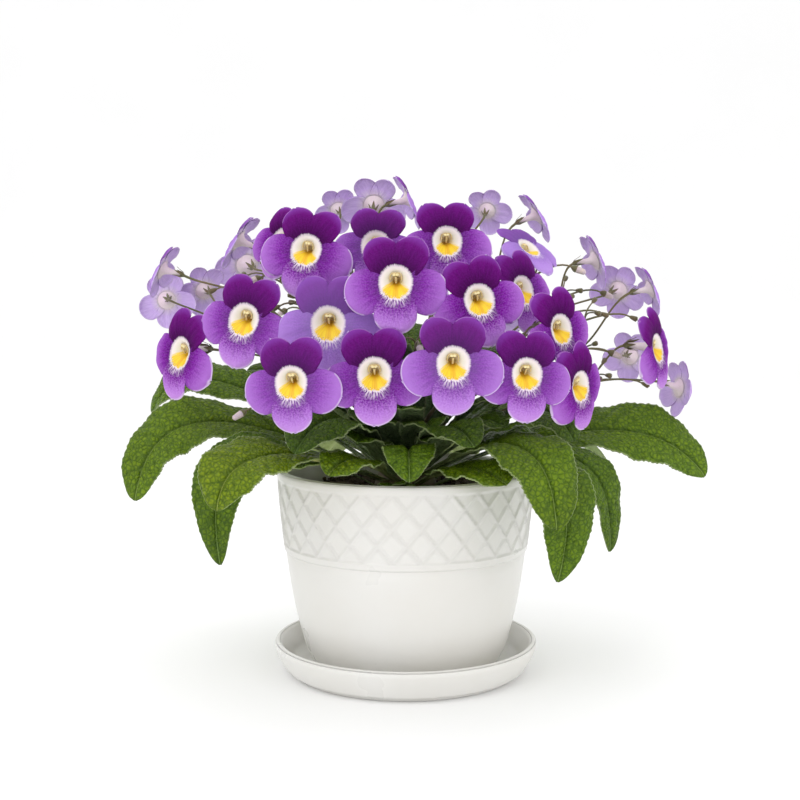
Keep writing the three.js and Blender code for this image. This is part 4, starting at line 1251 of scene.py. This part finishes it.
def lobe_sheet(lobe, settings, seed, detail):
    """One petal lobe from under the throat's ring to its round tip, swelling, with a ruffled margin."""
    start = THROAT - 0.7
    tip = lobe.reach + lobe.along

    def place(u, v):
        a = 2 * u - 1
        x = start + (tip - start) * np.sin(v * np.pi / 2 * 0.985) ** 0.92
        share = np.clip((x - lobe.reach) / lobe.along, -1, 1)
        half = lobe.across * np.sqrt(np.maximum(1 - share**2, 0.004))
        k = smooth(v, 0.05, 0.5)
        arc = a * half / x
        px = x * np.cos(arc) * (1 - k) + x * k
        py = x * np.sin(arc) * (1 - k) + a * half * k
        edge = np.sqrt(share**2 + a**2 * (1 - share**2)) * smooth(v, 0.2, 0.45)
        out = (np.hypot(px, py) - THROAT) / (tip - THROAT)
        swell = lobe.crown * np.sin(np.pi * np.clip(v, 0, 1)) ** 0.8 * (1 - a**2) ** 0.8
        ruffle = settings.ruffle / MM * edge**5 * np.sin(a * 5.2 + seed * 1.7) * smooth(v, 0.2, 0.7)
        fold = 0.14 * np.cos(a * 11 + seed) * smooth(v, 0, 0.15) * (1 - smooth(v, 0.3, 0.8))
        curl = -0.55 * smooth(edge, 0.8, 1.0)
        crease = -0.3 * np.exp(-((a / 0.08) ** 2)) * smooth(v, 0, 0.2) * (1 - smooth(v, 0.35, 0.85))
        z = -0.2 - lobe.drop * np.clip(out, 0, 2) ** 2 + swell + ruffle + fold + curl + crease
        z = z + lobe.layer * smooth(v, 0.06, 0.3) - 0.15 * (1 - smooth(v, 0, 0.14))
        turn = math.radians(lobe.turn)
        x, y = px * math.cos(turn) - py * math.sin(turn), px * math.sin(turn) + py * math.cos(turn)
        return np.stack([x, y, z], 1), (x / THROAT, y / THROAT, edge)

    faces = round(LOBE_GRID * detail)
    obj = sheet("lobe", faces, faces, place, lobe.finish, "petal_back")
    flip(obj)
    thicken(obj, settings.petal_thickness, -1)
    return obj


def rolled_sheet(name, rings, around, finish):
    """A round sheet through rings of (radius, depth behind the face, rise), opening at the first."""
    table = columns(rings)
    knots = np.linspace(0, 1, len(rings))

    def place(u, v):
        turn = u * 2 * np.pi
        radius, depth, rise = (np.interp(v, knots, column) for column in table)
        x, y = radius * np.cos(turn), radius * np.sin(turn)
        return np.stack([x, y + rise, -depth], 1), (x / THROAT, y / THROAT, depth / TUBE_END)

    obj = sheet(name, around, (len(rings) - 1) * 2, place, finish)
    merge(obj, outwards=False)
    return obj


def rises(depth):
    """How far the flower's tube has risen at a depth behind the face."""
    return TUBE_END_UP * (depth / TUBE_END) ** 1.15


def throat_parts(detail):
    """The throat's funnel with its scalloped ring, and the slim tube behind the face."""
    funnel = [(7.6, 0.75), (7.1, 0.55), (6.6, 0.5), (6.0, 0.75), (5.2, 1.2), (4.3, 1.8)]
    funnel += [(3.4, 2.5), (2.6, 3.3), (2.0, 4.5), (1.6, 6.2), (1.3, 8.4), (0, 9.2)]
    tube = [(6.9, 0.8), (5.9, 1.4), (4.9, 2.1), (4.0, 2.9), (3.2, 3.9), (2.6, 5.2)]
    tube += [(2.25, 7.0), (2.0, 9.2), (1.75, 11.6), (1.45, 13.8), (TUBE_END_RADIUS, TUBE_END), (0, TUBE_END)]
    inner = [(r, d, 1.2 * rises(d)) for r, d in funnel]
    outer = [(r, d, rises(d)) for r, d in tube]
    bowl = rolled_sheet("funnel", inner, round(52 * detail), "throat")
    flip(bowl)
    return [bowl, rolled_sheet("tube", outer, round(28 * detail), "flower_tube")]


def ball(name, at, radii, finish, segments=10):
    """A small egg shape at a place in the flower."""
    deselect()
    bpy.ops.mesh.primitive_uv_sphere_add(segments=segments, ring_count=segments // 2 + 1, radius=1)
    obj = bpy.context.object
    set_points(obj.data, get_points(obj.data) * MM * np.array(radii) + np.array(at))
    return dress(obj, name, (0, 0, 0), finish)


def stamen_parts():
    """Two stamens that arch from the throat's sides and hold their anthers together over the cream style."""
    share = np.linspace(0, 1, 8)
    arches = []
    parts = []
    for side in (-1, 1):
        route = [(side * 2.3, 1.0, -2.7), (side * 2.9, 3.2, -1.9), (side * 1.6, 4.3, -1.1), (0, 3.7, -1.0)]
        arches.append((bezier(route, share), np.linspace(0.34, 0.28, 8)))
        parts.append(ball("anther", (side * 0.6, 3.1, -1.2), (0.8, 0.65, 0.5), "anther"))
    parts.append(rods("filaments", arches, "filament", 6))
    style = bezier([(0, 2.2, -1.5), (0, 1.6, -1.6), (0, 0.8, -2.2), (0, 0.0, -3.4)], share)
    parts.append(rods("style", [(style, np.linspace(0.5, 0.36, 8))], "filament", 6))
    return parts


def bloom_template(settings, seed, detail=1.0):
    """One whole flower in its own frame."""
    parts = [lobe_sheet(lobe, settings, seed * 2.3 + i, detail) for i, lobe in enumerate(LOBES)]
    return join(parts + throat_parts(detail) + stamen_parts(), "bloom_template")


class PLANT_OT_blooms(bpy.types.Operator):
    """Open the flowers: five lobes, the throat, the tube and the stamens, each bloom a little different"""

    bl_idname = "plant.blooms"
    bl_label = "Blooms"

    def execute(self, context):
        random.seed(11)
        settings = context.scene.flower
        front = [bloom_template(settings, seed) for seed in range(3)]
        rear = bloom_template(settings, 3, REAR_DETAIL)
        for number, bloom in enumerate(BLOOMS):
            template = front[number % 3] if bloom.at[1] < 0 else rear
            obj = copy_of(template, bloom.node.replace("bloom", "flower"))
            co = get_points(obj.data)
            reach = np.hypot(co[:, 0], co[:, 1])
            turn = np.arctan2(co[:, 1], co[:, 0])
            flex = smooth(reach, THROAT + 1, 22)
            lean = [random.uniform(-1, 1) for _ in range(4)]
            tilt = 0.7 * lean[0] * np.cos(turn + lean[1] * 3)
            saddle = 0.6 * lean[2] * np.cos(2 * turn + lean[3] * 3)
            co[:, 2] += flex * (tilt + saddle)
            carry(obj.data, co, bloom_matrix(bloom))
            set_value(obj.data, "pale", min(1.0, max(0.0, bloom.pale + random.uniform(-0.06, 0.12))))
            place_piece(obj, "petal", bloom.node)
        discard([*front, rear])
        return {"FINISHED"}


# ---------------------------------------------------------------- crown, flower stalks and young leaves


def calyx_template():
    """The small green cup behind a flower and its five narrow sepals, in the flower's own frame."""
    seat = -TUBE_END - GAP - CALYX["cup"]
    cup = [(0, TUBE_END_UP, seat + rise) for rise in (-0.4, 0.5, 1.3, 2.1, 2.55)]
    parts = [rods("cup", [(cup, (0.75, 1.05, 1.4, 1.6, 1.3))], "sepal", 10)]
    for i in range(5):
        turn = math.radians(90 - i * 72)

        def place(u, v, turn=turn):
            a = 2 * u - 1
            half = 0.95 * (1 - v) ** 0.75 * (0.55 + 0.45 * smooth(v, 0, 0.3)) + 0.05
            x = 0.75 + (CALYX["cup_radius"] - 0.4) * smooth(v, 0, 0.35) + 1.5 * v**2.2 + 0.25 * a**2
            y = a * half * 1.4
            px = x * math.cos(turn) - y * math.sin(turn)
            py = x * math.sin(turn) + y * math.cos(turn) + TUBE_END_UP
            return np.stack([px, py, seat + (CALYX["cup"] + CALYX["sepal"]) * v], 1), (a, v, np.abs(a))

        parts.append(sheet("sepal", 4, 8, place, "sepal"))
    return join(parts, "calyx_template")


def empty_lines():
    """A list of lines for each finish that stalks, calyces and buds have."""
    return {"stalk_skin": [], "sepal": [], "bud": []}


def spray_lines(spray, index):
    """A flower stalk's fork, pedicels and twig, as lines of points and radii by finish."""
    matrices = [bloom_matrix(BLOOMS[number - 1]) for number in spray.blooms]
    seats = [m @ Vector((0, TUBE_END_UP, -TUBE_END - GAP - CALYX["cup"])) for m in matrices]
    middle = sum(seats, Vector()) / len(seats)
    bearing = bearing_of(middle)
    foot = polar(bearing, 9 if index % 2 == 0 else 4.6, CROWN["top"] - 2)
    fork = foot.lerp(middle, spray.fork) + UP * 4
    span = (fork - foot).length
    leaving = foot + outward(bearing) * span * 0.1 + UP * span * 0.4
    arriving = fork.lerp(foot, 0.25) + UP * span * 0.06
    onward = (fork - arriving).normalized()
    thick = STALK["pedicel"]
    steps = np.append(np.linspace(0, 0.97, 20), (0.99, 1))
    scape = np.append(np.linspace(STALK["foot"], STALK["fork"], 20), KNOT)
    lines = empty_lines()
    lines["stalk_skin"].append((bezier([foot, leaving, arriving, fork], steps), scape))
    for seat, matrix in zip(seats, matrices):
        reach = (fork - seat).length
        behind = (matrix.to_3x3() @ Vector((0, 0, -1))).normalized()
        controls = [seat, seat + behind * reach * 0.3, fork + onward * reach * 0.3, fork - onward * 1.2]
        route = bezier(controls, np.linspace(0, 1, 14))
        radii = np.append(np.linspace(thick * 1.35, thick, 4), np.full(10, thick))
        lines["stalk_skin"].append((route, radii))
    if spray.twig:
        side = outward(bearing + 70) * (7 if spray.twig == "bud" else -7)
        start = fork - onward
        end = start + onward * 10 + side
        route = bezier([start, start + onward * 6, end], np.linspace(0, 1, 10))
        lines["stalk_skin"].append((route, np.linspace(thick, thick * 0.8, 10)))
        end_twig(lines, route, spray.twig)
    return lines


def end_twig(lines, route, kind):
    """Put a bud or a spent calyx on the end of a twig's route."""
    end, along = Vector(route[-1]), Vector(route[-1] - route[-2]).normalized()
    swell = {
        "bud": [("bud", (-0.3, 0.8, 2.2, 3.8, 5.4, 6.8, 7.5), (0.6, 1.2, 1.75, 1.7, 1.5, 1.35, 0.5)),
                ("sepal", (-0.4, 0.6, 1.7, 2.5), (0.6, 1.35, 1.9, 1.85))],
        "spent": [("sepal", (-0.3, 0.7, 2.2, 3.6, 4.2), (0.5, 0.95, 1.25, 1.4, 0.3))],
    }
    for finish, steps, radii in swell[kind]:
        lines[finish].append(([end + along * step for step in steps], radii))


def bare_twig(lines, kind, at):
    """A thin stalk that rises from the crown and arches over to its end."""
    tip = Vector(at)
    bearing = bearing_of(tip)
    foot = polar(bearing, 7, CROWN["top"] - 2)
    rise = tip.z - foot.z
    nod = outward(bearing) * 9 - UP * 3
    controls = [foot, foot.lerp(tip, 0.25) + UP * rise * 0.45, tip - nod * 1.6 + UP * 4, tip]
    route = bezier(controls, np.linspace(0, 1, 22))
    lines["stalk_skin"].append((route, np.linspace(0.85, 0.42, 22)))
    for turn in (-1, 1):
        start = Vector(route[15])
        side = outward(bearing + turn * 60) * 9 + UP * (9 if turn > 0 else 4)
        more = bezier([start, start + UP * 5, start + side], np.linspace(0, 1, 8))
        lines["stalk_skin"].append((more, np.linspace(0.5, 0.36, 8)))
        end_twig(lines, more, "spent")
    end_twig(lines, route, kind)


def crown_stub():
    """The short stem that leaves and stalks spring from, knobbly with old leaf bases."""
    rooted = [(0, 82.3), (13.6, 82.3), (16.4, 86), (17, 90)]
    shown = [(16.8, 95), (15.4, 100), (13.6, 105), (11.4, 109), (7, 111), (0, 111.4)]
    stub = turned("crown", rooted + shown, 48, "stalk_skin")
    co = get_points(stub.data)
    for i, p in enumerate(co):
        push = 1 + 0.05 * noise.noise(Vector(p) * 0.4)
        co[i, :2] *= push if p[2] > SOIL_TOP else min(push, 1)
    set_points(stub.data, co)
    return stub


class PLANT_OT_stalks(bpy.types.Operator):
    """Raise the flower stalks from the crown, with their forks, calyces, buds and the youngest leaves"""

    bl_idname = "plant.stalks"
    bl_label = "Crown and stalks"

    def execute(self, context):
        lines = empty_lines()
        for index, spray in enumerate(SPRAYS):
            for finish, more in spray_lines(spray, index).items():
                lines[finish] += more
        for kind, at in TWIGS:
            bare_twig(lines, kind, at)
        parts = [crown_stub(), *[rods(finish + "s", more, finish) for finish, more in lines.items()]]
        template = calyx_template()
        for bloom in BLOOMS:
            calyx = copy_of(template, "calyx")
            carry(calyx.data, get_points(calyx.data), bloom_matrix(bloom))
            parts.append(calyx)
        discard([template])
        for leaf in YOUNG_LEAVES + INNER_LEAVES:
            parts.append(grow_leaf(leaf, crown_reach(leaf.base) - 4, context.scene.leaf, SMALL_BLADE_GRID))
        place_piece(join(parts, "crown_with_stalks"), "stalk", "crown_and_stalks")
        return {"FINISHED"}


# ---------------------------------------------------------------- studio


CAMERA_AT = (-0.003, -0.7, 0.204)  # metres, as the studio's other sizes
CAMERA_DOWN = 5.15  # degrees below level
LIGHT_TARGET = Vector((0, 0, 0.14))
LIGHT_SIZE = 1.2
FLAT = 1.6  # how far the floor runs back before it bends up
BEND = 1.2  # the bend's radius


def area_light(name, at, power):
    """A soft square light that looks at the plant."""
    bpy.ops.object.light_add(type="AREA", location=at)
    light = bpy.context.object
    light.name = name
    light.data.size = LIGHT_SIZE
    light.data.energy = power
    light.rotation_euler = (LIGHT_TARGET - Vector(at)).to_track_quat("-Z", "Y").to_euler()


class PLANT_OT_studio(bpy.types.Operator):
    """Set the camera, a pale floor and soft studio light"""

    bl_idname = "plant.studio"
    bl_label = "Studio"

    def execute(self, context):
        settings = context.scene.studio
        deselect()
        bpy.ops.object.camera_add(location=CAMERA_AT, rotation=(math.radians(90 - CAMERA_DOWN), 0, 0))
        camera = context.object
        camera.data.sensor_width = 36
        camera.data.lens = settings.lens
        context.scene.camera = camera

        skin = Skin("pale_floor", (0.96, 0.96, 0.96), 0.9)
        skin.colour = (0.97, 0.97, 0.97)
        skin.layer(skin.mottle(skin.place(), 3.0), (0.95, 0.95, 0.95))
        skin.finish()

        def sweep(u, v):
            run = v * 9 - 4
            bend = np.clip((run - FLAT) / BEND, 0, np.pi / 2)
            y = np.where(run < FLAT, run, FLAT + BEND * np.sin(bend))
            wall = np.maximum(run - FLAT - BEND * np.pi / 2, 0)
            z = np.where(run < FLAT, 0, BEND * (1 - np.cos(bend)) + wall)
            return np.stack([(u - 0.5) * 12, y, z], 1) / MM, (0, 0, 0)

        sheet("floor", 8, 90, sweep, "pale_floor")
        area_light("key_light", (-0.75, -1.0, 1.25), settings.key)
        area_light("fill_light", (1.1, -0.8, 0.7), settings.fill)
        area_light("top_light", (0.1, 0.5, 1.4), settings.fill)
        world = bpy.data.worlds.new("surround")
        world.use_nodes = True
        background = world.node_tree.nodes["Background"]
        background.inputs["Color"].default_value = (1, 1, 1, 1)
        background.inputs["Strength"].default_value = settings.sky
        context.scene.world = world
        context.scene.view_settings.view_transform = "Standard"
        return {"FINISHED"}


# ---------------------------------------------------------------- panel and registration


class PLANT_PT_panel(bpy.types.Panel):
    """The plant's steps and settings in the sidebar"""

    bl_idname = "PLANT_PT_panel"
    bl_label = "Potted streptocarpus"
    bl_space_type = "VIEW_3D"
    bl_region_type = "UI"
    bl_category = "Streptocarpus"

    def draw(self, context):
        for step in STEPS:
            self.layout.operator(step.bl_idname)
        for group in ("flower", "leaf", "plant_pot", "studio"):
            settings = getattr(context.scene, group)
            box = self.layout.box()
            for name in settings.__annotations__:
                box.prop(settings, name)


STEPS = [
    PLANT_OT_finishes,
    PLANT_OT_saucer,
    PLANT_OT_pot,
    PLANT_OT_soil,
    PLANT_OT_leaves,
    PLANT_OT_blooms,
    PLANT_OT_stalks,
    PLANT_OT_studio,
]
GROUPS = {"flower": FlowerSettings, "leaf": LeafSettings, "plant_pot": PotSettings, "studio": StudioSettings}


def register():
    """Registers the settings, the steps and the panel."""
    for cls in [*GROUPS.values(), *STEPS, PLANT_PT_panel]:
        bpy.utils.register_class(cls)
    for name, group in GROUPS.items():
        setattr(bpy.types.Scene, name, bpy.props.PointerProperty(type=group))


def unregister():
    """Takes back what register added."""
    for name in GROUPS:
        delattr(bpy.types.Scene, name)
    for cls in [PLANT_PT_panel, *reversed(STEPS), *reversed(GROUPS.values())]:
        bpy.utils.unregister_class(cls)


def main():
    """Builds the plant step by step."""
    register()
    for step in STEPS:
        category, name = step.bl_idname.split(".")
        getattr(getattr(bpy.ops, category), name)()


if __name__ == "__main__":
    main()
